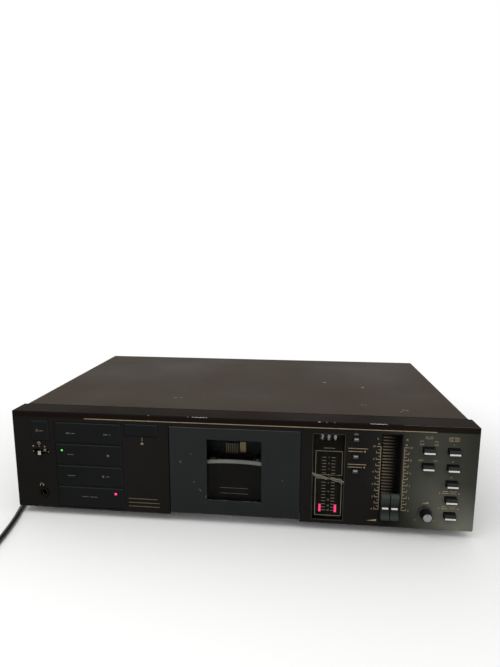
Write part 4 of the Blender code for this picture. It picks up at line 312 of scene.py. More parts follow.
def turned(profile, x, height, count=48, ripple=None):
    """Round piece about a line along the depth: each profile pair of radius and depth becomes a ring, and
    ripple gives the share of the radius that each of its points keeps."""
    keep = np.ones((len(profile), count)) if ripple is None else ripple
    across, up = disc(1.0, count).T
    radius, depth = np.array(profile, float).T
    rings = np.empty((len(profile), count, 3))
    rings[..., 0] = x + radius[:, None] * keep * across
    rings[..., 1] = depth[:, None]
    rings[..., 2] = height + radius[:, None] * keep * up
    return rings


def ring(x, height, radius, width, count, face=0.0):
    """Printed ring: a four-cornered section carried round a circle."""
    inner, outer = radius - width / 2, radius + width / 2
    front, back = face - INK_PROUD, face + INK_SUNK
    return hoop(turned(((inner, front), (outer, front), (outer, back), (inner, back)), x, height, count))


def ink(outline, x, height, face=0.0):
    """A printed mark: an outline a hair proud of a face and sunk a little into it."""
    return slab(np.asarray(outline, float), x, height, face - INK_PROUD, face + INK_SUNK)


def bars(rows, face=0.0, proud=INK_PROUD, sunk=INK_SUNK):
    """Printed bars, each given by its left end, right end, foot and top."""
    left, right, foot, top = np.atleast_2d(np.array(rows, float)).T
    lows = np.column_stack((left, np.full(len(left), face - proud), foot))
    highs = np.column_stack((right, np.full(len(left), face + sunk), top))
    return blocks(lows, highs)


def triangle(width, height):
    """Outline of a triangle that points along x when width is positive."""
    outline = np.array(((-width / 2, -height / 2), (width / 2, 0), (-width / 2, height / 2)))
    return outline[::int(np.sign(width))]


def peak(width, height):
    """Outline of a triangle that points up."""
    return np.array(((-width / 2, -height / 2), (width / 2, -height / 2), (0, height / 2)))


def disc(radius, count=20):
    """Outline of a circle."""
    return radius * unit(np.arange(count) * 2 * np.pi / count)


def bow(outer, inner, start, end, count):
    """Outline of a curved band between two radii, from one angle to another."""
    arc = unit(np.linspace(start, end, count))
    return np.vstack((outer * arc, inner * arc[::-1]))


def type_outline(text, tall):
    """Plain type of a given height as a centred shape in its own plane, as thick as one unit."""
    curve = bpy.data.curves.new("figures", "FONT")
    curve.body = text
    curve.resolution_u = 3
    curve.extrude = 0.02
    holder = bpy.data.objects.new("figures", curve)
    mesh = bpy.data.meshes.new_from_object(holder)
    work = bmesh.new()
    work.from_mesh(mesh)
    bmesh.ops.remove_doubles(work, verts=work.verts, dist=1e-4)
    work.to_mesh(mesh)
    work.free()
    flat = np.empty(len(mesh.vertices) * 3, np.float32)
    mesh.vertices.foreach_get("co", flat)
    points = flat.reshape(-1, 3).astype(float)
    corners = np.empty(len(mesh.loops), np.int32)
    mesh.loops.foreach_get("vertex_index", corners)
    counts = np.empty(len(mesh.polygons), np.int32)
    mesh.polygons.foreach_get("loop_total", counts)
    bpy.data.objects.remove(holder)
    bpy.data.curves.remove(curve)
    bpy.data.meshes.remove(mesh)
    points -= (points.min(axis=0) + points.max(axis=0)) / 2
    scale = tall / np.ptp(points[:, 1])
    points *= (scale, scale, 1 / np.ptp(points[:, 2]))
    return points, corners, counts


def figures(text, x, height, tall, face=0.0):
    """Printed type, centred on a place of a face."""
    points, corners, counts = type_outline(text, tall)
    depth = face + (INK_SUNK - INK_PROUD) / 2 - points[:, 2] * (INK_SUNK + INK_PROUD)
    return np.column_stack((x + points[:, 0], depth, height + points[:, 1])), corners, counts


# Making a piece

def piece(name, body, parts, replaces=()):
    """A mesh object in metres from shapes in panel millimetres, each with its own finish, facing outwards and
    smooth except where faces meet at a sharp angle."""
    points, corners, counts = join(*(shape for _, shape in parts))
    mesh = bpy.data.meshes.new(name)
    mesh.vertices.add(len(points))
    mesh.vertices.foreach_set("co", (points * MM + PANEL_CORNER).astype(np.float32).ravel())
    mesh.loops.add(len(corners))
    mesh.loops.foreach_set("vertex_index", corners.astype(np.int32))
    mesh.polygons.add(len(counts))
    mesh.polygons.foreach_set("loop_start", (np.cumsum(counts) - counts).astype(np.int32))
    finishes = []
    for made, _ in parts:
        if made not in finishes:
            finishes.append(made)
    marks = np.concatenate([np.full(len(shape[2]), finishes.index(made)) for made, shape in parts])
    mesh.polygons.foreach_set("material_index", marks.astype(np.int32))
    for made in finishes:
        mesh.materials.append(made)
    mesh.update(calc_edges=True)
    mesh.validate()
    work = bmesh.new()
    work.from_mesh(mesh)
    bmesh.ops.recalc_face_normals(work, faces=work.faces)
    work.to_mesh(mesh)
    work.free()
    mesh.shade_smooth()
    mesh.set_sharp_from_angle(angle=math.radians(SHARP_DEGREES))
    obj = bpy.data.objects.new(name, mesh)
    bpy.context.scene.collection.objects.link(obj)
    if replaces:
        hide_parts(*replaces)
    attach(obj, body)
    return obj


def dress(made, *nodes):
    """Gives a finish to solid parts whose shape is already right."""
    for node in nodes:
        frame["nodes"][node].material_slots[0].material = made


# Materials

def add(tree, kind, links=None, values=None, stops=None, **settings):
    """One node with its settings, its own input values, its colour stops and its incoming links."""
    node = tree.nodes.new("ShaderNode" + kind)
    for key, value in settings.items():
        setattr(node, key, value)
    for socket, value in (values or {}).items():
        node.inputs[socket].default_value = value
    for socket, source in (links or {}).items():
        tree.links.new(source, node.inputs[socket])
    for number, (position, tone) in enumerate(stops or ()):
        stop = node.color_ramp.elements[number] if number < 2 else node.color_ramp.elements.new(position)
        stop.position = position
        stop.color = tone
    return node


def shade(base, share):
    """A colour made lighter or darker by a share, with full alpha."""
    return (*np.clip(np.asarray(base)[:3] * (1 + share), 0, 1).tolist(), 1.0)


def coat(name, base, roughness, gloss=0.5, metallic=0.0, patch=45.0, drift=0.12, grain=1.6, relief=0.06,
         spread=0.08, alpha=1.0):
    """A surface whose colour drifts by a share over patches of some millimetres, whose roughness drifts with
    it, and whose fine grain is raised. Returns the material, its tree, its shader and its coordinates."""
    made = bpy.data.materials.new(name)
    made.use_nodes = True
    tree = made.node_tree
    shader = tree.nodes["Principled BSDF"]
    shader.inputs["Metallic"].default_value = metallic
    shader.inputs["Specular IOR Level"].default_value = gloss
    shader.inputs["Alpha"].default_value = alpha
    place = add(tree, "TexCoord").outputs["Object"]
    patches = add(tree, "TexNoise", {"Vector": place}, {"Scale": 1 / (patch * MM), "Detail": 4.0})
    hue = add(
        tree, "ValToRGB", {"Fac": patches.outputs["Fac"]},
        stops=((0.3, shade(base, -drift)), (0.7, shade(base, drift))),
    )
    dull = add(
        tree, "MapRange", {"Value": patches.outputs["Fac"]},
        {"From Min": 0.3, "From Max": 0.7, "To Min": roughness - spread, "To Max": roughness + spread},
    )
    grains = add(tree, "TexNoise", {"Vector": place}, {"Scale": 1 / (grain * MM), "Detail": 2.0})
    bump = add(tree, "Bump", {"Height": grains.outputs["Fac"]}, {"Strength": relief, "Distance": 0.3 * MM})
    tree.links.new(hue.outputs["Color"], shader.inputs["Base Color"])
    tree.links.new(dull.outputs["Result"], shader.inputs["Roughness"])
    tree.links.new(bump.outputs["Normal"], shader.inputs["Normal"])
    return made, tree, shader, place


def tone_over(tree, shader, share, tone):
    """Lays a second colour over a shader's colour by a share that other nodes give."""
    under = shader.inputs["Base Color"].links[0].from_socket
    mixed = add(tree, "Mix", {0: share, 6: under}, {7: shade(tone, 0)}, data_type="RGBA")
    tree.links.new(mixed.outputs[2], shader.inputs["Base Color"])


def rubbed_share(tree, most):
    """How far a face turns up or to the right, as a share: a painted highlight lies on those edges, as if
    light fell on them from above and from the right.
    """
    facing = add(tree, "SeparateXYZ", {0: add(tree, "NewGeometry").outputs["Normal"]})
    turned_most = add(tree, "Math", {0: facing.outputs["X"], 1: facing.outputs["Z"]}, operation="MAXIMUM")
    level = add(tree, "MapRange", {"Value": turned_most.outputs[0]},
                {"From Min": 0.25, "From Max": 0.8, "To Min": 0.0, "To Max": most})
    return level.outputs["Result"]


def once(make):
    """Keeps one material for each maker, so that pieces of one finish share it."""
    kept = {}

    def made():
        if make not in kept:
            kept[make] = make()
        return kept[make]

    return made


def plain(name, tone, roughness, lighter=0.0, glow=0.0, **more):
    """A finish that one coat makes, from an sRGB hex value or the name of one of the user's colours. A lamp's
    finish glows in its own colour."""
    @once
    def make():
        base = shade(linear(tone) if tone.startswith("#") else colour(tone), lighter)
        made, _, shader, _ = coat(name, base, roughness, **more)
        if glow:
            shader.inputs["Emission Color"].default_value = base
            shader.inputs["Emission Strength"].default_value = glow
        return made

    return make


# Finishes that one coat makes, each with what it gives the eye

# Black ABS moulded in a fine spark texture: near black with a soft grey sheen.
moulded_abs = plain("moulded ABS", "moulding", 0.40, gloss=0.3, patch=18, drift=0.10, grain=0.9, relief=0.05)

# Black ABS from a polished mould, handled a lot: it shines where fingers rub it.
polished_abs = plain("polished ABS", "moulding", 0.26, gloss=0.55, patch=10, drift=0.12, grain=2.0,
                     relief=0.04)

# Dark brown-grey satin ABS of the cassette holder and the phones socket.
holder_abs = plain("holder ABS", "holder", 0.5, gloss=0.08, patch=20, drift=0.12)

# Light grey edge of the cassette holder: a painted highlight where its top ledge catches the light from
# above.
rim_highlight_abs = plain("rim ABS", "rim", 0.4, patch=14, drift=0.15)

# White ABS of bars, index lines and washers: even and slightly shiny.
white_moulding = plain("white ABS", "white", 0.4, patch=6, drift=0.04, grain=0.8, relief=0.03)

# Black acetal of the reels, slightly waxy.
black_acetal = plain("black acetal", "#1b1b1a", 0.4, gloss=0.3, patch=12, drift=0.08)

# Soft PVC of the mains lead: black, slightly waxy, with faint bloom.
flexible_pvc = plain("flexible PVC", "#161615", 0.42, gloss=0.45, patch=16, drift=0.15, grain=1.0,
                     relief=0.05)

# Red PVC washer round a socket.
red_ring = plain("red PVC", "#9c1f1c", 0.45, patch=4, drift=0.08)

# Rubber of feet, belt and roller: matt black that dust greys. The sheet behind the sliders takes it too,
# as painted shade.
black_rubber = plain("black rubber", "#1c1c1b", 0.8, gloss=0.3, patch=9, drift=0.18, grain=1.2, relief=0.12)

# Zinc-plated sheet steel: pale grey metal with cloudy patches of passivation.
zinc_plated_steel = plain("zinc-plated steel", "#8f9190", 0.38, metallic=0.85, patch=14, drift=0.16,
                          spread=0.14)

# Black-passivated zinc of the mechanism's plate, made black as painted shade so that the well behind the
# window shows dark.
black_zinc_painted_shade = plain("black zinc plate", "#1b1a19", 0.5, gloss=0.2, metallic=0.3, patch=14, drift=0.2)

# Yellow-passivated zinc of the little bracket: a dull straw-coloured metal.
yellow_zinc_plate = plain("yellow zinc plate", "#8f8262", 0.4, metallic=0.5, patch=5, drift=0.15)

# Ground and polished steel: bright, with faint turning marks.
bright_steel = plain("bright steel", "#b9bbbd", 0.24, metallic=1.0, patch=6, drift=0.06, relief=0.03)

# Nickel plate on sockets and timer lever: warm bright metal with a soft shine.
nickel_plate = plain("nickel plate", "#b3ada2", 0.22, metallic=1.0, patch=5, drift=0.06, relief=0.02)

# Turned brass: yellow metal, a little dulled by handling.
turned_brass = plain("turned brass", "#b08d4f", 0.3, metallic=1.0, patch=5, drift=0.10)

# Satin aluminium of the knob's disc. On the small buttons the same light grey is a painted highlight.
aluminium_and_painted_highlight = plain("satin aluminium", "knob_disc", 0.42, metallic=0.35, patch=3, drift=0.08)

# Matt black card behind the display's lens.
display_card = plain("black card", "#17160f", 0.7, gloss=0.05, patch=12, drift=0.15)

# Edge of the acrylic, drawn as a grey line: a painted highlight where it would catch the light.
acrylic_edge_highlight = plain("acrylic edge highlight", "#4d4b44", 0.5, gloss=0.2, patch=9, drift=0.3)

# Thin pale translucent film on the acrylic, in streaks.
pale_film = plain("pale film", "#a7a695", 0.6, patch=1.5, drift=0.5, alpha=0.22)

# Screen-printed gold ink: dull, slightly broken in tone.
gold_ink = plain("gold ink", "gold", 0.5, patch=4, drift=0.18, grain=0.6)

# The same ink worn thin, and the dull comb behind the window.
dim_gold_ink = plain("worn gold ink", "gold", 0.55, lighter=-0.55, patch=4, drift=0.25, grain=0.6)

# Grey ink on keys and holder, rubbed by fingers.
key_ink = plain("grey ink", "key_ink", 0.5, patch=5, drift=0.3, grain=0.6)

# Grey-white ink of the display's scale.
meter_ink = plain("display ink", "#94917f", 0.5, patch=5, drift=0.12, grain=0.6)

# Pale paint along the lip's right edge: a painted highlight where the edge would catch the light.
lip_highlight_paint = plain("painted lip highlight", "#5b564c", 0.5, gloss=0.1, patch=9, drift=0.35)

# Bare spots where something has rubbed through the cover's enamel.
cover_rub = plain("rubbed enamel", "#8d8882", 0.55, gloss=0.2, patch=2, drift=0.4)

# Bare light metal and primer where paint is knocked off an edge.
raw_chip = plain("bare chip", "#c9c9c4", 0.5, metallic=0.2, patch=2, drift=0.3)

# Scratches through the door's dye: thin grey lines.
scratch_grey = plain("scratched dye", "#7d8284", 0.5, metallic=0.2, patch=2, drift=0.4)

# Unlit red lamp bars, dark behind the smoked acrylic.
unlit_red_epoxy = plain("unlit red epoxy", "#1b0d0d", 0.4, gloss=0.1, patch=3)

# Tinted epoxy of a lit lamp: an even red glow under a glossy skin.
lit_red_epoxy = plain("lit red epoxy", "lit_red", 0.2, glow=0.75, patch=3, drift=0.1)

# The same in green.
lit_green_epoxy = plain("lit green epoxy", "lit_green", 0.2, glow=0.45, patch=3, drift=0.1)

# Counter digits in white paint with a faint glow of their own: painted light that keeps them bright behind
# the smoked lens.
glowing_digit_white = plain("glowing digit white", "#d8d8d6", 0.5, glow=0.22, patch=6, drift=0.04, grain=0.8)


# Finishes with more than one coat

@once
def satin_panel_paint():
    """Satin paint sprayed on a moulded ABS panel: a soft wide reflection and a slight orange peel. The band
    over the long line is a warmer black. A painted sheen, a paler tone that grows towards the lower right,
    stands in for the reflection of a bright floor there."""
    made, tree, shader, place = coat(
        "satin panel paint", colour("panel"), 0.45, gloss=0.01, patch=70, drift=0.10, grain=1.5, relief=0.05,
    )
    slant, slant_top, painted_sheen_start, painted_sheen_end = -0.6, 45, 115, 215
    axes = add(tree, "SeparateXYZ", {0: place})
    under = add(tree, "Math", {1: axes.outputs["Z"]}, {0: world("z", slant_top)}, operation="SUBTRACT")
    lower = add(tree, "Math", {0: under.outputs[0]}, {1: 0.0}, operation="MAXIMUM")
    slanted = add(tree, "Math", {0: lower.outputs[0], 2: axes.outputs["X"]}, {1: slant},
                  operation="MULTIPLY_ADD")
    across = add(tree, "MapRange", {"Value": slanted.outputs[0]},
                 {"From Min": painted_sheen_start * MM, "From Max": painted_sheen_end * MM})
    painted_sheen_ramp = add(tree, "ValToRGB", {"Fac": across.outputs["Result"]},
                stops=((0.0, grey(0.0)), (0.2, grey(0.12)), (0.6, grey(1.0)), (0.8, grey(0.85)),
                       (0.95, grey(0.5))))
    # The painted sheen is strongest near the foot of the panel and fades upwards.
    upward = add(tree, "MapRange", {"Value": axes.outputs["Z"]},
                 {"From Min": world("z", 5), "From Max": world("z", 95)})
    rise = add(tree, "ValToRGB", {"Fac": upward.outputs["Result"]},
               stops=((0.0, grey(0.8)), (0.22, grey(0.5)), (0.45, grey(0.31)), (1.0, grey(0.2))))
    right = add(tree, "Math", {0: painted_sheen_ramp.outputs["Color"], 1: rise.outputs["Color"]}, operation="MULTIPLY")
    above = world("z", LONG_LINE - 0.4)
    band = add(tree, "MapRange", {"Value": axes.outputs["Z"]},
               {"From Min": above, "From Max": above + 0.4 * MM, "To Min": 0.0, "To Max": 0.9})
    tone_over(tree, shader, right.outputs[0], colour("haze"))
    tone_over(tree, shader, band.outputs["Result"], linear("#1c1511"))
    return made


@once
def baked_enamel():
    """Baked enamel on folded steel: dull warm black, lifted where it is rubbed. Rubs are drawn 5 mm long."""
    made, tree, shader, place = coat(
        "baked enamel", colour("cover"), 0.55, gloss=0.08, patch=120, drift=0.14, grain=1.3, relief=0.10,
    )
    shader.inputs["Specular Tint"].default_value = (1.0, 0.88, 0.76, 1.0)
    rubs = add(tree, "TexNoise", {"Vector": place}, {"Scale": 1 / (5 * MM), "Detail": 5.0, "Roughness": 0.6})
    zones = add(tree, "TexNoise", {"Vector": place}, {"Scale": 1 / (60 * MM), "Detail": 1.0})
    both = add(tree, "Math", {0: rubs.outputs["Fac"], 1: zones.outputs["Fac"]}, operation="MULTIPLY")
    worn = add(tree, "MapRange", {"Value": both.outputs["Value"]},
               {"From Min": 0.40, "From Max": 0.46, "To Min": 0.0, "To Max": 0.35})
    tone_over(tree, shader, worn.outputs["Result"], shade(colour("cover"), 2.2))
    return made


@once
def blue_black_anodising():
    """Dyed anodised aluminium: a cold blue-black with a brushed sheen that runs across. Brush lines are drawn
    1 mm apart, since the real ones are too fine to show."""
    made, tree, shader, place = coat(
        "blue-black anodising", colour("door"), 0.38, gloss=0.2, patch=30, drift=0.12, relief=0.03,
    )
    # Painted grey highlight along the door's upper and right edges.
    tone_over(tree, shader, rubbed_share(tree, 0.9), colour("rubbed"))
    turned_place = add(tree, "Mapping", {"Vector": place}, {"Scale": (0.05, 1.0, 1.0)})
    lines = add(tree, "TexNoise", {"Vector": turned_place.outputs["Vector"]}, {"Scale": 1 / MM})
    dull = add(tree, "MapRange", {"Value": lines.outputs["Fac"]},
               {"From Min": 0.3, "From Max": 0.7, "To Min": 0.28, "To Max": 0.48})
    tree.links.new(dull.outputs["Result"], shader.inputs["Roughness"])
    return made


@once
def key_abs():
    """Black ABS of the wide keys, matt on the face, with a painted grey highlight along upper and right
    edges.
    """
    made, tree, shader, _ = coat(
        "key ABS", colour("moulding"), 0.45, gloss=0.10, patch=24, drift=0.14, grain=0.9, relief=0.05,
    )
    tone_over(tree, shader, rubbed_share(tree, 0.6), colour("rubbed"))
    return made


@once
def dusty_abs():
    """Brown-black ABS of the slider recess: the ribs' fronts turn tan, partly from settled dust and partly
    as painted light, lightest at the left and fading to painted shade towards the right."""
    made, tree, shader, place = coat("dusty ABS", linear("#171411"), 0.6, gloss=0.1, patch=8, drift=0.2)
    axes = add(tree, "SeparateXYZ", {0: place})
    left, right = (world("x", corner[0]) for corner in span("fader_body"))
    painted_shade_from = left + (right - left) * 0.75
    # Painted light and shade: the tan is strongest at the recess's left and gone three quarters of the way
    # across.
    side = add(tree, "MapRange", {"Value": axes.outputs["X"]},
               {"From Min": left, "From Max": painted_shade_from, "To Min": 1.0, "To Max": 0.0})
    depths = corners_of("fader_body")[:, 1]
    bed = depths[depths < depths.max() - 1.0].max()
    rib_foot, rib_top, rim_back = (world("y", bed - front) for front in (0.4, 1.2, 2.5))
    proud = add(tree, "MapRange", {"Value": axes.outputs["Y"]}, {"From Min": rib_foot, "From Max": rib_top})
    deep = add(tree, "Math", {0: axes.outputs["Y"]}, {1: rim_back}, operation="GREATER_THAN")
    ribs = add(tree, "Math", {0: proud.outputs["Result"], 1: deep.outputs[0]}, operation="MULTIPLY")
    dust_and_painted_light = add(tree, "Math", {0: ribs.outputs[0], 1: side.outputs["Result"]}, operation="MULTIPLY")
    tone_over(tree, shader, dust_and_painted_light.outputs[0], linear("#a89880"))
    return made


@once
def smoked_acrylic():
    """Smoked acrylic sheet with an anti-glare skin and fine wiping marks. Its outer face takes a little of
    the light that passes, and its inner face is left clear so that the sheet isn't counted twice."""
    made, tree, shader, _ = coat(
        "smoked acrylic", colour("acrylic"), 0.45, gloss=0.0, patch=25, drift=0.1, grain=4, relief=0.01,
        spread=0.04,
    )
    inner = add(tree, "NewGeometry").outputs["Backfacing"]
    taken = add(tree, "MapRange", {"Value": inner}, {"To Min": 0.10, "To Max": 0.0})
    tree.links.new(taken.outputs["Result"], shader.inputs["Alpha"])
    return made


@once
def slider_abs():
    """Dark grey-green ABS of the slider caps: both humps are painted lighter grey as if lit from above, and
    the hollow stays dark as painted shade.
    """
    made, tree, shader, place = coat(
        "slider ABS", linear("#161a1a"), 0.5, gloss=0.12, patch=7, drift=0.14, grain=0.8, relief=0.05,
    )
    low, high = span("level_slider_left", most=0.0)
    axes = add(tree, "SeparateXYZ", {0: place})
    up = add(tree, "MapRange", {"Value": axes.outputs["Z"]},
             {"From Min": world("z", low[2]), "From Max": world("z", high[2])})
    # Painted light along the cap's height: light grey on the humps, painted shade in the hollow.
    painted_hump_light = add(tree, "ValToRGB", {"Fac": up.outputs["Result"]},
               stops=((0.0, grey(0.5)), (0.14, grey(1.0)), (0.34, grey(0.12)), (0.55, grey(0.0)),
                      (0.72, grey(0.85)), (0.93, grey(1.0))))
    tone_over(tree, shader, painted_hump_light.outputs["Color"], linear("#3c423e"))
    return made


@once
def paper_laminate():
    """Phenolic paper laminate of the circuit boards: brown, with lighter copper tracks drawn 2.5 mm apart."""
    made, tree, shader, place = coat("paper laminate", colour("board"), 0.4, patch=30, drift=0.15)
    tracks = add(tree, "TexBrick", {"Vector": place}, {
        "Scale": 1 / (10 * MM), "Mortar Size": 0.06, "Color1": (0, 0, 0, 1), "Color2": (0, 0, 0, 1),
        "Mortar": (1, 1, 1, 1), "Brick Width": 0.9, "Row Height": 0.25,
    })
    tone_over(tree, shader, tracks.outputs["Fac"], shade(colour("board"), 0.6))
    return made


@once
def laminated_iron():
    """Stacked iron sheets under thin varnish: fine dark lines between the sheets, drawn 1 mm apart."""
    made, tree, shader, place = coat("laminated iron", linear("#3d3a36"), 0.45, metallic=0.6, patch=10)
    sheets = add(tree, "TexWave", {"Vector": place}, {"Scale": 1 / (6.3 * MM), "Distortion": 0.3},
                 bands_direction="Y")
    hue = add(tree, "ValToRGB", {"Fac": sheets.outputs["Fac"]},
              stops=((0.2, linear("#1d1b19")), (0.6, linear("#4a4641"))))
    tree.links.new(hue.outputs["Color"], shader.inputs["Base Color"])
    return made


# Mains lead

def lead_course():
    """Points that the mains lead follows in metres: the free stretch, then the coil it is wound into, whose
    radius shrinks by a pitch a turn to half way and grows again one layer higher."""
    low, high = span("cord_gland")
    middle = (low + high) / 2 * (1, 0, 1) + (0, high[1] + 0.1, 0)
    relief_end = middle * MM + PANEL_CORNER
    bends = np.array((
        (-0.1700, 0.1695, 0.0305), (-0.1780, 0.1770, 0.0245), (-0.1890, 0.1785, 0.0165),
        (-0.2000, 0.1730, 0.0092), (-0.2095, 0.1620, 0.0044), (-0.2170, 0.1470, 0.0026),
        (-0.2230, 0.1280, 0.0025), (-0.2280, 0.1050, 0.0025), (-0.2325, 0.0700, 0.0025),
        (-0.2345, 0.0200, 0.0025), (-0.2330, -0.0300, 0.0025), (-0.2265, -0.0760, 0.0025),
        (-0.2180, -0.1105, 0.0025), (-0.2100, -0.1400, 0.0025), (-0.2045, -0.1710, 0.0025),
        (-0.2027, -0.1950, 0.0025),
    ))
    turns, pitch, middle_radius, half_layer = 7.5, 0.00508, 0.037125, 3.5
    coil_x, coil_y, resting = -0.2400, -0.2223, 0.0025
    straight, run_in = (0, 0.0046, 0), (0, 0.008, 0)
    t = np.arange(0, turns + 1e-9, 1 / 36)
    radius = middle_radius - pitch * np.minimum(t, turns - t)
    climbed = np.clip((t - half_layer) / 0.5, 0, 1)
    lift = pitch * (1 - np.cos(np.pi * climbed)) / 2
    coil = np.column_stack(((coil_x, coil_y) + radius[:, None] * unit(-2 * np.pi * t), resting + lift))
    start = coil[:1] + straight
    end = coil[-1:] + straight
    arrival = start + (0, 0.0003, 0)
    knots = np.vstack((relief_end, relief_end + run_in, bends, arrival + run_in, arrival))
    return knots, start, coil, end


def catmull_rom(knots, steps):
    """A curve through every knot whose pull at a knot is half the step between its two neighbours."""
    held = np.vstack((2 * knots[0] - knots[1], knots, 2 * knots[-1] - knots[-2]))
    a, b, c, d = held[:-3, None], held[1:-2, None], held[2:-1, None], held[3:, None]
    t = (np.arange(steps) / steps)[None, :, None]
    curve = b + 0.5 * t * (c - a + t * (2 * a - 5 * b + 4 * c - d + t * (3 * (b - c) + d - a)))
    return np.vstack((curve.reshape(-1, 3), knots[-1]))


def ribbed_sleeve(start_radius, end_radius, start, length, ribs):
    """Profile of a tapered sleeve: its radius runs evenly between its ends, less a cosine groove a rib."""
    share = np.linspace(0, 1, ribs * 8 + 1)
    radius = start_radius + (end_radius - start_radius) * share
    groove = 0.22 * (1 - np.cos(2 * np.pi * ribs * share))
    return np.column_stack((radius - groove, start + length * share))


def strain_relief():
    """Collar and ribbed tapered sleeve where the lead leaves the rear panel."""
    low, high = span("cord_gland")
    x, _, height = (low + high) / 2
    collar = span("rear_panel")[1][1] + 0.3
    inner = ((4.8, low[1]), (5.5, low[1] + 0.6), (5.5, collar), (7.7, collar), (8.0, collar + 0.3),
             (8.0, collar + 1.6), (7.6, collar + 2.0), (5.9, collar + 2.0))
    sleeve = ribbed_sleeve(5.5, 3.4, collar + 2.4, high[1] - collar - 2.4, 7)
    profile = np.vstack((inner, sleeve))
    piece("strain_relief", "deck", [
        (flexible_pvc(), skin(turned(profile, x, height))),
    ], ["cord_gland"])


def mains_plug(end):
    """Flat two-pin plug: a ribbed sleeve, a body that widens along a half cosine, and two round-tipped
    pins."""
    sleeve_length, body_length, body_height, pin_side = 24.0, 36.0, 13.7, 9.3
    neck, widening, end_round = 13.0, 20.0, 1.5
    x, start, height = to_panel(end)
    start += 0.3
    sleeve = ribbed_sleeve(2.6, 4.0, start, sleeve_length, 6)
    share = np.linspace(0, 1, 25)
    width = neck + widening * (1 - np.cos(np.pi * np.clip(share / 0.45, 0, 1))) / 2
    ends = np.clip(1 - np.minimum(share, 1 - share) * 24, 0, 1)
    inset = end_round * (1 - np.sqrt(1 - ends ** 2))
    back = start + sleeve_length
    front = back + body_length
    rings = np.stack([
        upright(rounded(w - 2 * e, body_height - 2 * e, 5.5), x, height, back + body_length * s)
        for s, w, e in zip(share, width, inset)
    ])
    pins = ((2.0, front - 1.0), (2.0, front + 17.2), (1.8, front + 18.1), (1.3, front + 18.7),
            (0.6, front + 19.0))
    shapes = [(flexible_pvc(), skin(turned(sleeve, x, height, 32))), (flexible_pvc(), skin(rings))]
    shapes += [(turned_brass(), skin(turned(pins, x + side * pin_side, height, 24))) for side in (-1, 1)]
    piece("mains_plug", "deck", shapes, ["plug"])


class DECK_OT_lead(bpy.types.Operator):
    """Lays the mains lead with its strain relief and plug"""

    bl_idname = "deck.lead"
    bl_label = "Mains Lead"

    def execute(self, context):
        knots, start, coil, end = lead_course()
        points = np.vstack((catmull_rom(knots, 4), start, coil, end))
        curve = bpy.data.curves.new("mains_lead", "CURVE")
        curve.dimensions = "3D"
        curve.bevel_depth = context.scene.deck_sizes.lead_width / 2
        curve.bevel_resolution = 3
        curve.use_fill_caps = True
        spline = curve.splines.new("POLY")
        spline.points.add(len(points) - 1)
        flat = np.column_stack((points, np.ones(len(points)))).astype(np.float32)
        spline.points.foreach_set("co", flat.ravel())
        spline.use_smooth = True
        curve.materials.append(flexible_pvc())
        lead = bpy.data.objects.new("mains_lead", curve)
        context.scene.collection.objects.link(lead)
        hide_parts("power_cord", "cord_coil")
        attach(lead, "deck")
        strain_relief()
        mains_plug(end[0])
        return {"FINISHED"}


# Housing

def recessed_head(radius, top_radius, rise, cross, depth):
    """Screw head as rings: a domed disc whose inner points sink by depth where they lie in a cross."""
    shares = np.array((1.0, 1.0, 0.92, 0.8, 0.62, 0.5, 0.42, 0.3, 0.2, 0.1))
    foot = np.arange(len(shares)) == 0
    radii = np.where(foot, radius, top_radius + 0.35) * shares
    u, v = (radii[:, None] * part for part in disc(1.0, 48).T)
    height = np.where(foot[:, None], 0.0, rise - 0.5 * (shares[:, None] ** 4))
    across, along = np.abs(u), np.abs(v)
    inside = (np.minimum(across, along) < cross / 2) & (np.maximum(across, along) < top_radius * 0.6)
    return u, v, height - depth * inside


def rear_screws():
    """Pan-head screws with a crossed recess along the rear panel's edge."""
    face = span("rear_panel")[1][1]
    u, v, rise = recessed_head(3.0, 2.6, 1.7, 0.7, 0.8)
    piece("rear_screws", "deck", [
        (zinc_plated_steel(), skin(np.stack((x + u, face + rise, z + v), axis=-1)))
        for x in (-195.0, -65.0, 65.0, 195.0) for z in (6.5, 88.5)
    ])


def cover_screws():
    """Side screws of the cover: the solid's shank and a head with a crossed recess."""
    head, shank_radius, shank_end = 2.2, 1.8, 9.2
    u, v, rise = recessed_head(4.0, 3.2, head, 0.9, 1.0)
    circle = disc(shank_radius, 24)
    for side, name in ((-1, "left"), (1, "right")):
        for place in ("front", "rear"):
            node = f"cover_screw_{name}_{place}"
            low, high = span(node)
            _, depth, height = (low + high) / 2
            outer = high[0] if side > 0 else low[0]
            rings = np.stack((outer - side * head + side * rise, depth + u, height + v), axis=-1)
            shank = np.stack([
                np.column_stack((np.full(len(circle), x), depth + circle[:, 0], height + circle[:, 1]))
                for x in (outer - side * 2.0, outer - side * shank_end)
            ])
            piece(f"side_screw_{name}_{place}", "deck", [
                (zinc_plated_steel(), skin(rings)), (zinc_plated_steel(), skin(shank)),
            ], [node])


def socket_shells():
    """Nickel shells and coloured washers of the four round sockets at the rear."""
    low, high = span("jack_block")
    x_middle, _, z_middle = (low + high) / 2
    wall, end, apart = span("rear_panel")[1][1], high[1], 8.0
    washer = ((4.7, wall + 0.05), (6.4, wall + 0.05), (6.4, wall + 0.9), (6.1, wall + 1.2), (4.7, wall + 1.2))
    shell = ((4.16, wall + 1.3), (4.5, wall + 1.3), (4.5, end - 0.3), (4.3, end), (4.16, end))
    shapes = []
    for x in (x_middle - apart, x_middle + apart):
        for z, made in ((z_middle + apart, white_moulding()), (z_middle - apart, red_ring())):
            shapes.append((made, hoop(turned(washer, x, z))))
            shapes.append((nickel_plate(), hoop(turned(shell, x, z))))
    piece("socket_shells", "deck", shapes)


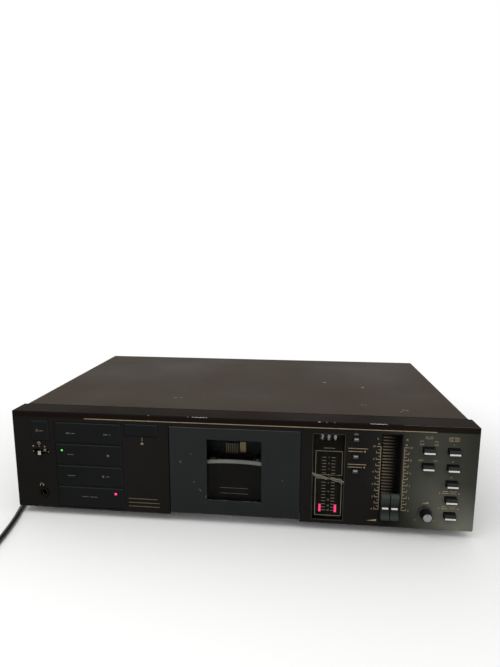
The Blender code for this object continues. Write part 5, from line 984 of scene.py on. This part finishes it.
def edge_chips():
    """Knocks on the panel's upper front edge, thin slivers that wrap the edge with uneven ends, and a pale
    strip along its right end, a painted highlight. Each stretch has a left end, a right end and a number of
    slivers."""
    high = span("front_panel")[1]
    top = high[2]
    random = np.random.default_rng(5)
    stretches = (
        (-39.8, -25.5, 11), (120.4, 135.9, 9), (-43.9, -42.9, 1), (-81.2, -80.0, 1), (75.4, 77.9, 2),
        (82.0, 83.2, 1), (89.0, 90.4, 1),
    )
    lows, highs = [], []
    for start, end, count in stretches:
        edges = np.linspace(start, end, count + 1)
        left = edges[:-1] + random.uniform(0.0, 0.25, count)
        right = edges[1:] - random.uniform(0.0, 0.35, count)
        drop = random.uniform(0.1, 0.4, count)
        reach = random.uniform(0.1, 0.5, count)
        lows.append(np.column_stack((left, np.full(count, -0.04), top - drop)))
        highs.append(np.column_stack((right, reach, np.full(count, top + 0.03))))
    chips = blocks(np.vstack(lows), np.vstack(highs))
    # Painted highlight along the edge of the lip.
    lip_highlight = bars((150.0, high[0] - 0.4, top - 0.35, top - 0.05))
    piece("edge_chips", "deck", [(raw_chip(), chips), (lip_highlight_paint(), lip_highlight)])


def cover_rubs():
    """Small rubs on the top of the cover: flat uneven lozenges, each with its x, depth, half width and half
    length."""
    top = span("top_cover")[1][2]
    corners = 9
    places = (
        (-70.5, 56.8, 1.2, 0.5), (-68.0, 57.2, 0.8, 0.5), (-63.6, 57.6, 1.6, 0.4), (87.8, 133.3, 2.4, 1.2),
        (129.4, 116.9, 1.6, 1.4), (120.2, 53.5, 1.0, 0.5), (123.5, 53.0, 1.3, 0.5), (155.0, 36.0, 1.1, 0.6),
        (158.3, 41.5, 1.6, 0.5), (161.5, 39.8, 1.2, 0.6),
    )
    shapes = []
    for x, depth, wide, long in places:
        uneven = 1 + 0.35 * np.sin(np.arange(corners) * 2.4 + x)
        outline = disc(1.0, corners) * (wide, long) * uneven[:, None]
        rings = [
            np.column_stack((x + outline[:, 0], depth + outline[:, 1], np.full(corners, top + rise)))
            for rise in (-INK_SUNK, INK_PROUD / 3)
        ]
        shapes.append((cover_rub(), skin(np.stack(rings))))
    piece("cover_rubs", "deck", shapes)


class DECK_OT_housing(bpy.types.Operator):
    """Finishes the housing and adds its screws, sockets and knocks"""

    bl_idname = "deck.housing"
    bl_label = "Housing"

    def execute(self, context):
        dress(satin_panel_paint(), "front_panel")
        dress(baked_enamel(), "top_cover", "rear_panel")
        dress(zinc_plated_steel(), "bottom_chassis")
        dress(black_rubber(), "foot_front_left", "foot_front_right", "foot_rear_left", "foot_rear_right")
        dress(moulded_abs(), "jack_block")
        dress(holder_abs(), "phones_jack")
        cover_screws()
        rear_screws()
        socket_shells()
        edge_chips()
        cover_rubs()
        return {"FINISHED"}


# Door

def holder_rim():
    """Light band along the arched top of the holder's front, a thin section carried along the arch whose
    light grey is a painted highlight, and the two lines below it."""
    low, high = span("cassette_holder")
    arch = 4.5
    points = corners_of("cassette_holder")
    points = points[points[:, 1] < low[1] + 0.05]
    inner = points[(points[:, 0] > low[0] + 2) & (points[:, 0] < high[0] - 2)]
    share = np.linspace(0, 1, 33)
    x = low[0] + 0.2 + (high[0] - low[0] - 0.4) * share
    crest = inner[:, 2].max() - arch + arch * np.sin(np.pi * share)
    section = np.array(((-0.12, -3.0), (-0.12, -0.4), (0.25, 0.25), (1.2, 0.25), (1.2, -0.1), (0.1, -3.0)))
    rings = np.empty((len(share), len(section), 3))
    rings[..., 0] = x[:, None]
    rings[..., 1] = low[1] + section[:, 0]
    rings[..., 2] = crest[:, None] + section[:, 1]
    lines = bars(((-15.0, 12.0, 27.9, 28.3), (-15.0, 12.0, 22.5, 22.9)), low[1], proud=0.06, sunk=0.1)
    piece("holder_rim", "door", [(rim_highlight_abs(), skin(rings)), (key_ink(), lines)])


def pocket_details():
    """What shows behind the window above the holder: a straw-coloured bracket and a comb of dull ribs."""
    front = span("mechanism_plate", least=20.0)[0][1]
    strips = join(*(blocks((x, front - 1.6, 56.5), (x + 0.9, front + 0.2, 66.0))
                    for x in np.linspace(-11.0, -0.2, 7)))
    back = blocks((-11.4, front - 0.5, 56.0), (0.9, front + 0.1, 67.0))
    bracket = pad(np.array((2.3, front - 2.2, 57.6)), np.array((8.6, front + 0.1, 68.0)), 0.8, 0.5, 0.2)
    piece("pocket_details", "deck", [
        (dim_gold_ink(), strips), (holder_abs(), back), (yellow_zinc_plate(), bracket),
    ])


def door_scratches():
    """Short scratches on the door: thin lozenges, each with its place, its length and its direction in
    degrees."""
    places = (
        (-51.7, 53.7, 3.2, -60), (-50.6, 54.3, 2.6, 50), (-38.5, 34.4, 2.0, -45), (-33.1, 26.8, 3.4, -38),
        (-32.2, 25.6, 1.6, -20), (-27.6, 20.0, 3.4, -86), (-41.0, 62.0, 1.6, -30), (44.0, 40.0, 1.8, 25),
    )
    half_width = 0.16
    shapes = []
    face = span("cassette_door")[0][1]
    for x, height, long, degrees in places:
        (across, up), = unit([math.radians(degrees)])
        along = np.array((across, up)) * long / 2
        wide = np.array((-up, across)) * half_width
        outline = np.array((-along, wide - along * 0.3, along, -wide + along * 0.3))
        shapes.append((scratch_grey(), ink(outline, x, height, face)))
    piece("door_scratches", "door", shapes)


class DECK_OT_door(bpy.types.Operator):
    """Finishes the cassette door, its window and the holder behind it"""

    bl_idname = "deck.door"
    bl_label = "Door"

    def execute(self, context):
        dress(blue_black_anodising(), "cassette_door")
        dress(smoked_acrylic(), "door_window")
        dress(holder_abs(), "cassette_holder")
        holder_rim()
        pocket_details()
        door_scratches()
        return {"FINISHED"}


# Keys and buttons

def chevrons(x, height, way):
    """Two triangles in a row that point left or right."""
    outline = triangle(way * 1.9, 2.0)
    return join(ink(outline, x - 1.0, height, KEY_FACE), ink(outline, x + 1.0, height, KEY_FACE))


def dome(x, height, radius):
    """Lens of a lamp: a quarter of a circle turned round, standing on a key's face."""
    curve = (0, KEY_FACE) + unit(np.linspace(0, np.pi / 2, 6)[:-1]) * (radius, -0.7 * radius)
    return skin(turned(np.vstack(((radius, KEY_FACE + 0.6), curve)), x, height, 20))


def transport_keys():
    """Four wide keys with rounded edges and printed marks, and the two lamps let into them."""
    edge = lengths()["key_edge"]
    marks = {
        1: (chevrons(-160.2, 77.5, -1), chevrons(-122.7, 77.5, 1),
            bars(((-156.6, -152.8, 77.2, 77.8), (-119.6, -114.6, 77.2, 77.8)), KEY_FACE)),
        2: (ink(triangle(2.2, 2.2), -163.5, 56.2, KEY_FACE),
            bars(((-161.4, -155.4, 55.9, 56.5), (-122.4, -120.2, 55.4, 57.6)), KEY_FACE)),
        3: (bars(((-168.0, -167.2, 33.6, 35.8), (-166.4, -165.6, 33.6, 35.8), (-163.6, -155.0, 34.4, 35.0),
                  (-124.0, -120.8, 34.9, 35.5)), KEY_FACE),
            ink(disc(1.1), -127.0, 35.2, KEY_FACE)),
        4: (ring(-164.8, 13.7, 1.1, 0.6, 20, KEY_FACE),
            bars(((-149.0, -142.5, 13.3, 13.9), (-141.0, -134.0, 13.3, 13.9), (-117.0, -114.0, 12.9, 13.5)),
                 KEY_FACE)),
    }
    lamps = {
        2: [(lit_green_epoxy(), dome(-166.8, 60.2, 1.0))],
        4: [(lit_red_epoxy(), dome(-115.3, 17.9, 1.3))],
    }
    for number, printed in marks.items():
        node = f"transport_key_{number}"
        piece(f"wide_key_{number}", node, [
            (key_abs(), press_cap(node, 0.9, edge, KEY_DISH)), (key_ink(), join(*printed)),
            *lamps.get(number, ()),
        ], [node])


def power_and_eject():
    """Wide power cap with a ring mark, and the eject bar whose face leans back to its top."""
    dish = 0.12
    low, high = span("power_button", most=0.0)
    face = low[1] + dish
    x, _, height = (low + high) / 2
    strokes = ((x - 2.7, x - 2.3, height + 0.2, height + 1.8), (x - 0.2, x + 3.6, height - 0.3, height + 0.3))
    piece("power_cap", "power_button", [
        (key_abs(), press_cap("power_button", 0.9, 0.6, dish)),
        (dim_gold_ink(), ink(bow(1.3, 0.95, -0.35 * np.pi, 1.35 * np.pi, 21), x - 2.5, height, face)),
        (dim_gold_ink(), bars(strokes, face)),
    ], ["power_button"])
    piece("eject_bar", "eject_button", [
        (key_abs(), press_cap("eject_button", 0.8, 0.7, dish=0.1, lean=0.45)),
    ], ["eject_button"])


def timer_slide():
    """Lever of the timer switch on its runner: a small cap with three cosine grooves, rounded at its ends."""
    low, high = span("timer_lever", most=0.0)
    flange_low, flange_high = collar_span("timer_lever")
    x = (low[0] + high[0]) / 2
    rings = []
    for share in np.linspace(0, 1, 25):
        groove = 0.18 * (1 - np.cos(6 * np.pi * share)) / 2
        end = 0.35 * (1 - np.sqrt(1 - np.clip(1 - np.minimum(share, 1 - share) * 12, 0, 1) ** 2))
        outline = rounded(high[0] - low[0] - 2 * end, 1.0, 0.35, 3)
        front = low[1] + groove + end
        depth = np.where(outline[:, 1] < 0, front + 0.5 + outline[:, 1], flange_low[1])
        height = np.full(len(outline), low[2] + (high[2] - low[2]) * share)
        rings.append(np.column_stack((x + outline[:, 0], depth, height)))
    piece("timer_slide", "timer_lever", [
        (nickel_plate(), skin(np.stack(rings))), (nickel_plate(), blocks(flange_low, flange_high)),
    ], ["timer_lever"])


def small_buttons():
    """Three narrow buttons whose faces lean back, so that they catch the light from above, each with a light
    grey strip near its top as a painted highlight.
    """
    for name in ("reset", "memory", "repeat"):
        node = f"{name}_button"
        low, high = span(node, most=0.0)
        x = (low[0] + high[0]) / 2
        # Painted highlight near the top of the button's face.
        highlight_strip = blocks((x - 1.7, low[1] - 0.08, high[2] - 1.9), (x + 1.7, low[1] + 0.9, high[2] - 0.7))
        piece(f"{name}_cap", node, [
            (polished_abs(), press_cap(node, 0.5, 0.45, dish=0.1, lean=0.5)), (aluminium_and_painted_highlight(), highlight_strip),
        ], [node])


def bar_caps():
    """Noise reduction and tape buttons: black caps with a white bar along the foot of the face."""
    sizes = lengths()
    for node in (*(f"noise_button_{number}" for number in range(1, 3)),
                 *(f"tape_button_{number}" for number in range(1, 6))):
        low, high = span(node, most=0.0)
        bar_low = np.array((low[0] + 0.15, low[1] - 0.12, low[2] + 0.5))
        bar_high = np.array((high[0] - 0.35, low[1] + 0.9, low[2] + 0.5 + sizes["bar_height"]))
        piece(node.replace("button", "cap"), node, [
            (moulded_abs(), press_cap(node, 0.5, sizes["cap_edge"], dish=0.05)),
            (white_moulding(), pad(bar_low, bar_high, 0.3, 0.12)),
        ], [node])


def jack_ring():
    """Nickel contact ring inside the phones socket."""
    low, high = span("phones_jack", most=0.0)
    x, _, height = (low + high) / 2
    inner, outer, front = 2.9, 3.2, low[1] + 2.4
    section = ((inner, front + 0.6), (outer, front), (outer + 0.04, front + 2.6), (inner, front + 2.6))
    piece("jack_ring", "deck", [(nickel_plate(), hoop(turned(section, x, height)))])


class DECK_OT_keys(bpy.types.Operator):
    """Makes the transport keys and every button"""

    bl_idname = "deck.keys"
    bl_label = "Keys and Buttons"

    def execute(self, context):
        transport_keys()
        power_and_eject()
        timer_slide()
        small_buttons()
        bar_caps()
        jack_ring()
        return {"FINISHED"}


# Sliders and knob

def level_sliders():
    """Two slider caps: across x a rounded section, along the height a face that hollows at its middle, rounds
    over at both ends and carries fine upright ribs; then the stem through the slot."""
    rib_pitch = lengths()["rib_pitch"]
    margin = 0.9
    for side in ("left", "right"):
        node = f"level_slider_{side}"
        low, high = span(node, most=0.0)
        block_end = span(node, most=12.0)[1][1]
        deep_low, deep_high = span(node, least=14.0)
        width = high[0] - low[0]
        share = np.linspace(0, 1, 61)
        ends = np.clip(1 - np.minimum(share * 7.5, (1 - share) * 5.0), 0, 1)
        front = low[1] + 2.9 * np.sin(np.pi * share ** 1.1) ** 2 + 3.2 * (1 - np.sqrt(1 - ends ** 2))
        shoulder = np.clip((share - 0.72) / 0.28, 0, 1)
        back = block_end - (block_end - low[1] - 5.0) * shoulder ** 0.7
        outline = rounded(width, 2.0, 0.8, 4)
        front_edge = 3 * len(outline) // 4
        steps = 2 * int((width - 2 * margin) / rib_pitch) + 1
        across = np.linspace(margin - width / 2, width / 2 - margin, steps)
        fine = np.column_stack((across, np.full(steps, -1.0)))
        rib = np.zeros(len(outline) + steps)
        rib[front_edge:front_edge + steps] = 0.16 * (np.arange(steps) % 2)
        outline = np.vstack((outline[:front_edge], fine, outline[front_edge:]))
        rings = np.empty((len(share), len(outline), 3))
        rings[..., 0] = (low[0] + high[0]) / 2 + outline[:, 0]
        rings[..., 1] = np.where(outline[:, 1] < 0, front[:, None] + 1.0 + outline[:, 1] + rib, back[:, None])
        rings[..., 2] = (low[2] + (high[2] - low[2]) * share)[:, None]
        middle = (low[2] + high[2]) / 2 - 1.0
        trough = low[1] + 2.8
        index = blocks((low[0] + 1.1, trough - 0.3, middle - 0.8),
                       (high[0] - 1.1, trough + 0.8, middle + 0.8))
        stem = blocks((deep_low[0], block_end - 0.1, deep_low[2]), deep_high)
        piece(f"{side}_slider_cap", node, [
            (slider_abs(), skin(rings)), (white_moulding(), index), (moulded_abs(), stem),
        ], [node])


def slot_shield():
    """Black rubber sheet on the board behind the recess: painted shade, so that the slots show dark and
    nothing shows through them.
    """
    low, high = span("fader_body")
    points = corners_of("control_board")
    near = points[(np.abs(points[:, 0] - (low[0] + high[0]) / 2) < 60) & (points[:, 1] > high[1] + 1.5)]
    face = near[:, 1].min()
    sheet = blocks((low[0], face - 0.12, low[2] + 1.0), (high[0], face + 0.05, high[2] - 1.0))
    piece("slot_shield", "deck", [(black_rubber(), sheet)])


def level_knob():
    """Fluted knob: its flank runs from the skirt to the front in cosine flutes, round a light disc."""
    low, high = span("output_knob", most=0.0)
    rear = span("output_knob")[1][1]
    x, _, height = (low + high) / 2
    radius = (high[0] - low[0]) / 2
    front, foot, flutes, count = low[1], -2.6, 18, 108
    share = np.linspace(0, 1, 9)
    flank = np.column_stack((radius - 0.6 - (radius - 4.9) * share, foot + (front + 0.5 - foot) * share))
    skirt = ((3.0, rear), (3.0, -0.4), (radius - 0.3, -0.4), (radius, -0.7), (radius, -2.2),
             (radius - 0.4, -2.5))
    rim = ((4.2, front + 0.1), (3.9, front), (3.7, front + 0.3), (1.2, front + 0.3))
    profile = np.vstack((skirt, flank, rim))
    keep = np.ones((len(profile), count))
    wave = 1 - 0.045 * (1 - np.cos(flutes * 2 * np.pi * np.arange(count) / count)) / 2
    keep[len(skirt):len(skirt) + len(flank)] = wave
    light = ((3.6, front + 0.6), (3.6, front + 0.12), (3.4, front + 0.02), (1.0, front + 0.02))
    pointer = blocks((x - 0.25, front - 0.05, height + 1.2), (x + 0.25, front + 0.2, height + 3.5))
    piece("level_knob", "output_knob", [
        (polished_abs(), skin(turned(profile, x, height, count, keep))),
        (aluminium_and_painted_highlight(), skin(turned(light, x, height))), (moulded_abs(), pointer),
    ], ["output_knob"])


class DECK_OT_sliders(bpy.types.Operator):
    """Makes the two level sliders and the knob, and finishes the ribbed recess"""

    bl_idname = "deck.sliders"
    bl_label = "Sliders and Knob"

    def execute(self, context):
        dress(dusty_abs(), "fader_body")
        slot_shield()
        level_sliders()
        level_knob()
        return {"FINISHED"}


# Display

def frame_lines(left, right, foot, top, width, face=0.0):
    """Four bars round a rectangle."""
    return bars(((left, right, foot, foot + width), (left, right, top - width, top),
                 (left, left + width, foot, top), (right - width, right, foot, top)), face)


def display_face():
    """Black face behind the lens with its opening for the counter, scale marks, and two columns of lamp
    bars."""
    low, high = span("display_lens")
    face, between, lit_top = 2.75, 44.0, 16.5
    wheels = [span(f"counter_wheel_{number}") for number in (1, 2, 3)]
    middle = (wheels[0][0][2] + wheels[2][1][2]) / 2
    foot, top = middle - 3.2, middle + 2.7
    left, right = low[0] + 1.2, high[0] - 1.2
    starts = [left, *(wheel_high[0] - 0.2 for _, wheel_high in wheels)]
    ends = [*(wheel_low[0] + 0.2 for wheel_low, _ in wheels), right]
    card = [(left, right, low[2] + 1.2, foot), (left, right, top, high[2] - 0.9)]
    card += [(start, end, foot, top) for start, end in zip(starts, ends)]
    heights = 12.0 + 3.04 * np.arange(18)
    heights = heights[np.abs(heights - between) > 2.0]
    ticks = [(x, x + 3.6, z - 0.2, z + 0.2) for z in heights for x in (79.9, 88.3)]
    names = ("40", "30", "20", "10", "7", "5", "3", "0", "3")
    places = (12.0, 16.65, 22.4, 30.5, 38.7, 46.9, 52.4, 57.9, 63.7)
    numbers = [figures(name, 86.0, place, 1.5, face) for name, place in zip(names, places)]
    cells = [(x, x + 2.1, z, z + 1.7) for x in (77.5, 91.6) for z in np.arange(10.4, 65.0, 1.9)]
    lit = [cell for cell in cells if cell[2] < lit_top]
    unlit = [cell for cell in cells if cell[2] >= lit_top]
    frames = join(
        frame_lines(73.9, 98.0, 46.6, 69.9, 0.4, face), frame_lines(73.9, 98.0, 6.7, 43.4, 0.5, face),
        bars((81.0, 91.0, 72.4, 72.8), face),
    )
    piece("display_face", "deck", [
        (display_card(), bars(card, face, proud=0.0, sunk=0.6)), (meter_ink(), frames),
        (meter_ink(), bars(ticks, face)), (meter_ink(), join(*numbers)),
        (lit_red_epoxy(), bars(lit, face - 0.05)), (unlit_red_epoxy(), bars(unlit, face)),
    ])


def counter_drums():
    """Counter drums with ten flats, a digit on each, one a tenth of a turn after another."""
    tall = lengths()["digit_height"]
    count, bevel = 10, 0.2
    angle = (np.arange(count) + 0.5) * 2 * np.pi / count
    for number, shown in ((1, 3), (2, 0), (3, 8)):
        node = f"counter_wheel_{number}"
        low, high = span(node)
        x, depth, height = (low + high) / 2
        radius = (high[2] - low[2]) / 2
        rings = []
        for side, edge in ((low[0], radius - 0.3), (low[0] + bevel, radius), (high[0] - bevel, radius),
                           (high[0], radius - 0.3)):
            rings.append(np.column_stack((
                np.full(count, side), depth - edge * np.cos(angle), height + edge * np.sin(angle),
            )))
        flat = radius * math.cos(math.pi / count)
        digits = []
        for value in range(count):
            points, corners, counts = type_outline(str(value), tall)
            turn = (value - shown) * 2 * math.pi / count
            out = flat + points[:, 2] * 0.12
            up = points[:, 1]
            digits.append((np.column_stack((
                x + points[:, 0],
                depth - out * math.cos(turn) + up * math.sin(turn),
                height + out * math.sin(turn) + up * math.cos(turn),
            )), corners, counts))
        piece(f"counter_drum_{number}", node, [
            (moulded_abs(), skin(np.stack(rings))), (glowing_digit_white(), join(*digits)),
        ], [node])


def lens_smear():
    """Hazy streaks across the lens, bands along a slanting line whose width swells and thins in uneven waves,
    and a painted highlight along the lens's edge."""
    low, high = span("display_lens")
    share = np.linspace(0, 1, 61)
    x = low[0] + 0.4 + (high[0] - low[0] - 0.8) * share
    shapes = []
    for offset, wide, phase in ((0.0, 0.75, 0.0), (1.0, 0.4, 1.7), (-1.0, 0.35, 3.1), (-0.4, 0.3, 4.4)):
        middle = 48.0 + offset - 6.2 * share + 0.5 * np.sin(9 * share + phase) + 0.3 * np.sin(23 * share + 1)
        swell = 1 + 0.6 * np.sin(19 * share + phase) + 0.4 * np.sin(47 * share + phase)
        half = np.clip(wide * swell, 0.1, 2.0)
        outline = np.vstack((np.column_stack((x, middle + half)), np.column_stack((x, middle - half))[::-1]))
        lift = 0.01 * (1 + phase)
        shapes.append((pale_film(), slab(outline, 0.0, 0.0, low[1] - lift, low[1] + 0.02)))
    piece("lens_smear", "deck", shapes)
    edge = frame_lines(low[0] + 0.15, high[0] - 0.15, low[2] + 0.15, high[2] - 0.15, 0.35, low[1] + 0.02)
    piece("lens_edge_highlight", "deck", [(acrylic_edge_highlight(), edge)])


class DECK_OT_display(bpy.types.Operator):
    """Makes the level display, the counter drums and the lens over them"""

    bl_idname = "deck.display"
    bl_label = "Display"

    def execute(self, context):
        dress(smoked_acrylic(), "display_lens")
        display_face()
        counter_drums()
        lens_smear()
        return {"FINISHED"}


# Printed marks

def level_scales():
    """Two mirrored scales beside the sliders: ticks a step apart, every second one long with a short stroke
    at its end, and every fourth one numbered from 0 to 10."""
    count = 21
    heights = 17.2 + lengths()["scale_step"] * np.arange(count)
    rows, numbers = [], []
    for inner, outer, out in ((131.2, 127.3, -1), (151.2, 155.2, 1)):
        middle = inner + (outer - inner) * 0.55
        rows.append((*sorted((inner, inner + out * 0.4)), heights[0], heights[-1]))
        for number, height in enumerate(heights):
            long = number % 2 == 0
            rows.append((*sorted((inner, outer if long else middle)), height - 0.25, height + 0.25))
            if long and number < count - 1:
                rows.append((*sorted((outer, outer + out * 0.35)), height, height + 1.9))
        for number in range(0, count, 4):
            numbers.append(figures(str(number // 2), outer + out * 2.2, heights[number] + 0.1, 1.7))
    return join(bars(rows), *numbers)


def headphone_mark(x, height):
    """Headphones: half a ring over two upright pads."""
    pads = bars([(left, left + 0.9, height - 1.2, height + 0.2) for left in (x - 2.0, x + 1.1)])
    return join(ink(bow(1.7, 1.35, 0, np.pi, 17), x, height), pads)


def panel_marks():
    """Gold marks of the panel: the long line, switch signs, scales, figures and brackets."""
    sizes = lengths()
    tall, small = sizes["figure_height"], 1.6
    half = sizes["line_height"] / 2
    long_line = bars((-143.0, 178.0, LONG_LINE - half, LONG_LINE + half))
    timer = join(
        ring(-189.6, 66.3, 1.3, 0.4, 20), bars(((-189.8, -189.4, 66.3, 67.3), (-189.6, -188.8, 66.1, 66.5))),
        ink(disc(0.75), -195.6, 63.0), figures("0", -189.6, 63.0, small),
        ink(triangle(1.5, 1.6), -183.8, 63.0), ink(triangle(1.4, 1.2), -195.4, 57.8),
        ink(triangle(-1.4, 1.2), -180.9, 57.8),
    )
    eject = join(
        bars((-87.7, -87.3, 72.8, 76.2)), ink(peak(2.8, 1.5), -87.6, 70.9), bars((-89.0, -86.2, 69.1, 69.7)),
    )
    resets = join(
        figures("000", 109.1, 87.7, small),
        ink(disc(0.7), 117.2, 71.7), bars(((102.4, 115.2, 71.4, 71.9), (102.4, 119.6, 74.2, 74.7))),
        ink(disc(0.7), 117.2, 56.7), bars(((102.4, 115.2, 56.4, 56.9), (102.4, 118.6, 59.1, 59.6))),
    )
    sides = join(
        figures("L", 128.4, 84.6, tall), figures("R", 153.6, 84.4, tall),
        ink(triangle(1.8, 1.4), 129.6, 79.6), ink(triangle(-1.8, 1.4), 152.6, 79.6),
        ink(((-4.5, -0.9), (4.5, -0.9), (4.5, 0.9)), 125.3, 6.4),
    )
    noise = join(
        *(figures(text, x, height, small) for height in (80.9, 66.0)
          for text, x in (("OFF", 166.0), ("ON", 178.3))),
        bars(((164.2, 167.6, 83.7, 84.1), (176.4, 179.8, 83.7, 84.1), (164.2, 164.6, 82.8, 84.1),
              (179.4, 179.8, 82.8, 84.1))),
        ring(169.9, 87.2, 0.95, 0.35, 18), ring(173.9, 87.2, 0.95, 0.35, 18),
        bars((169.9, 173.9, 86.1, 86.45)),
    )
    tape = join(
        ring(190.9, 86.4, 1.0, 0.35, 18), ring(195.1, 86.4, 1.0, 0.35, 18),
        frame_lines(188.6, 197.4, 84.6, 88.2, 0.3),
        *(figures(text, 193.2, height, small) for text, height in (("I", 81.2), ("II", 65.9), ("IV", 51.0))),
        *(bars(((186.4, 191.0, height + 0.9, height + 1.5), (192.4, 198.4, height + 0.9, height + 1.5),
                (186.0, 191.8, height - 0.9, height - 0.3), (193.2, 197.8, height - 0.9, height - 0.3)))
          for height in (36.5, 22.0)),
        *(ink(disc(0.6), x, height - 0.6) for height in (36.5, 22.0) for x in (183.8, 200.4)),
    )
    output = join(
        ink(((-3.0, -0.8), (3.0, -0.8), (3.0, 0.8)), 171.9, 25.9),
        figures("0", 164.0, 8.8, small), figures("10", 180.6, 8.6, small),
    )
    bright = join(long_line, timer, eject, resets, sides, noise, tape, output, headphone_mark(-189.7, 23.8))
    worn = bars(((-102.8, -74.5, 14.0, 14.5), (-102.8, -72.2, 10.0, 10.5), (-102.8, -72.6, 6.2, 6.7)))
    piece("panel_marks", "deck", [(gold_ink(), bright), (gold_ink(), level_scales()), (dim_gold_ink(), worn)])


class DECK_OT_marks(bpy.types.Operator):
    """Prints the panel's lines, signs and figures"""

    bl_idname = "deck.marks"
    bl_label = "Printed Marks"

    def execute(self, context):
        panel_marks()
        return {"FINISHED"}


# Inside

class DECK_OT_inside(bpy.types.Operator):
    """Gives every part inside the housing its own finish"""

    bl_idname = "deck.inside"
    bl_label = "Inside"

    def execute(self, context):
        dress(paper_laminate(), "key_board", "control_board", "main_board")
        dress(black_zinc_painted_shade(), "mechanism_plate")
        dress(zinc_plated_steel(), "pinch_arm")
        dress(bright_steel(), "capstan_flywheel", "head_slide", "capstan_motor")
        dress(turned_brass(), "motor_pulley")
        dress(black_rubber(), "drive_belt", "pinch_roller")
        dress(black_acetal(), "supply_reel", "takeup_reel")
        dress(laminated_iron(), "transformer")
        return {"FINISHED"}


# Studio

def camera():
    """The photograph's view."""
    tilt, roll, pan = 80.50025526, -0.12574015, 5.87272927
    data = bpy.data.cameras.new("camera")
    data.lens = 25.31
    data.sensor_width = 36
    view = bpy.data.objects.new("camera", data)
    view.location = (0.05518, -0.52557, 0.25265)
    view.rotation_euler = [math.radians(angle) for angle in (tilt, roll, pan)]
    bpy.context.scene.collection.objects.link(view)
    bpy.context.scene.camera = view


def soft_lamp(name, watts, place, aim, width, height):
    """A rectangular lamp that faces a point: its -Z axis lies along the way to it."""
    data = bpy.data.lights.new(name, "AREA")
    data.shape = "RECTANGLE"
    data.size = width
    data.size_y = height
    data.energy = watts
    obj = bpy.data.objects.new(name, data)
    obj.location = place
    way = np.array(aim) - place
    obj.rotation_euler = (math.acos(-way[2] / np.linalg.norm(way)), 0.0, math.atan2(way[0], -way[1]))
    obj.visible_camera = False
    bpy.context.scene.collection.objects.link(obj)


def seen(tree):
    """One for rays that come from the camera or by way of a mirror or glass, else nought."""
    path = add(tree, "LightPath").outputs
    either = add(tree, "Math", {0: path["Is Camera Ray"], 1: path["Is Glossy Ray"]}, operation="MAXIMUM")
    return add(
        tree, "Math", {0: either.outputs[0], 1: path["Is Transmission Ray"]}, operation="MAXIMUM",
    ).outputs[0]


def floor():
    """Plain pale floor that keeps the shadow near the object and fades to white away from it."""
    half, solid, gone = 4, 0.27, 0.50
    mesh = bpy.data.meshes.new("floor")
    corners = [(-half, -half, 0), (half, -half, 0), (half, half, 0), (-half, half, 0)]
    mesh.from_pydata(corners, [], [(0, 1, 2, 3)])
    obj = bpy.data.objects.new("floor", mesh)
    bpy.context.scene.collection.objects.link(obj)
    made = bpy.data.materials.new("pale studio floor")
    made.use_nodes = True
    tree = made.node_tree
    shader = tree.nodes["Principled BSDF"]
    tone = add(tree, "Mix", {0: seen(tree)}, {6: linear("#8c8c8a"), 7: linear("#fbfbfa")}, data_type="RGBA")
    tree.links.new(tone.outputs[2], shader.inputs["Base Color"])
    shader.inputs["Roughness"].default_value = 0.9
    shader.inputs["Specular IOR Level"].default_value = 0.1
    away = add(tree, "VectorMath", {0: add(tree, "TexCoord").outputs["Object"]}, operation="LENGTH")
    fade = add(tree, "MapRange", {"Value": away.outputs["Value"]},
               {"From Min": solid, "From Max": gone}, interpolation_type="SMOOTHSTEP")
    share = add(tree, "Math", {0: fade.outputs["Result"], 1: seen(tree)}, operation="MULTIPLY")
    white = add(tree, "Emission", values={"Color": grey(1.0), "Strength": 1.0})
    mixed = add(tree, "MixShader", {0: share.outputs[0], 1: shader.outputs[0], 2: white.outputs[0]})
    tree.links.new(mixed.outputs[0], tree.nodes["Material Output"].inputs["Surface"])
    mesh.materials.append(made)


def sky(strength):
    """Even light all round, white to the camera and in reflections."""
    studio = bpy.data.worlds.new("studio")
    bpy.context.scene.world = studio
    studio.use_nodes = True
    tree = studio.node_tree
    level = add(tree, "MapRange", {"Value": seen(tree)}, {"To Min": strength, "To Max": 1.0})
    background = tree.nodes["Background"]
    background.inputs["Color"].default_value = grey(1.0)
    tree.links.new(level.outputs["Result"], background.inputs["Strength"])


class DECK_OT_stage(bpy.types.Operator):
    """Sets the floor, the light and the camera"""

    bl_idname = "deck.stage"
    bl_label = "Studio"

    def execute(self, context):
        light = context.scene.deck_light
        camera()
        floor()
        sky(light.sky)
        soft_lamp("key_lamp", light.key, place=(-0.3, -0.7, 1.1), aim=(0, 0, 0.05), width=0.9, height=0.7)
        soft_lamp("side_lamp", light.side, place=(0.25, -0.28, 0.035), aim=(0.17, -0.12, 0.05), width=0.16,
                  height=0.08)
        context.scene.view_settings.view_transform = "Standard"
        return {"FINISHED"}


# The add-on

STEPS = (
    DECK_OT_lead, DECK_OT_housing, DECK_OT_door, DECK_OT_keys, DECK_OT_sliders, DECK_OT_display,
    DECK_OT_marks, DECK_OT_inside, DECK_OT_stage,
)
GROUPS = {"deck_sizes": DeckSizes, "deck_colours": DeckColours, "deck_light": DeckLight}


class DECK_PT_panel(bpy.types.Panel):
    """Steps, sizes, colours and lamps of the cassette deck"""

    bl_label = "Cassette Deck"
    bl_idname = "DECK_PT_panel"
    bl_space_type = "VIEW_3D"
    bl_region_type = "UI"
    bl_category = "Cassette Deck"

    def draw(self, context):
        layout = self.layout
        for step in STEPS:
            layout.operator(step.bl_idname)
        for name, group in GROUPS.items():
            box = layout.box()
            for value in group.__annotations__:
                box.prop(getattr(context.scene, name), value)


def register():
    for made in (*GROUPS.values(), *STEPS, DECK_PT_panel):
        bpy.utils.register_class(made)
    for name, group in GROUPS.items():
        setattr(bpy.types.Scene, name, PointerProperty(type=group))


def unregister():
    for name in GROUPS:
        delattr(bpy.types.Scene, name)
    for made in reversed((*GROUPS.values(), *STEPS, DECK_PT_panel)):
        bpy.utils.unregister_class(made)


def main():
    register()
    for step in STEPS:
        group, name = step.bl_idname.split(".")
        getattr(getattr(bpy.ops, group), name)()


if __name__ == "__main__":
    main()
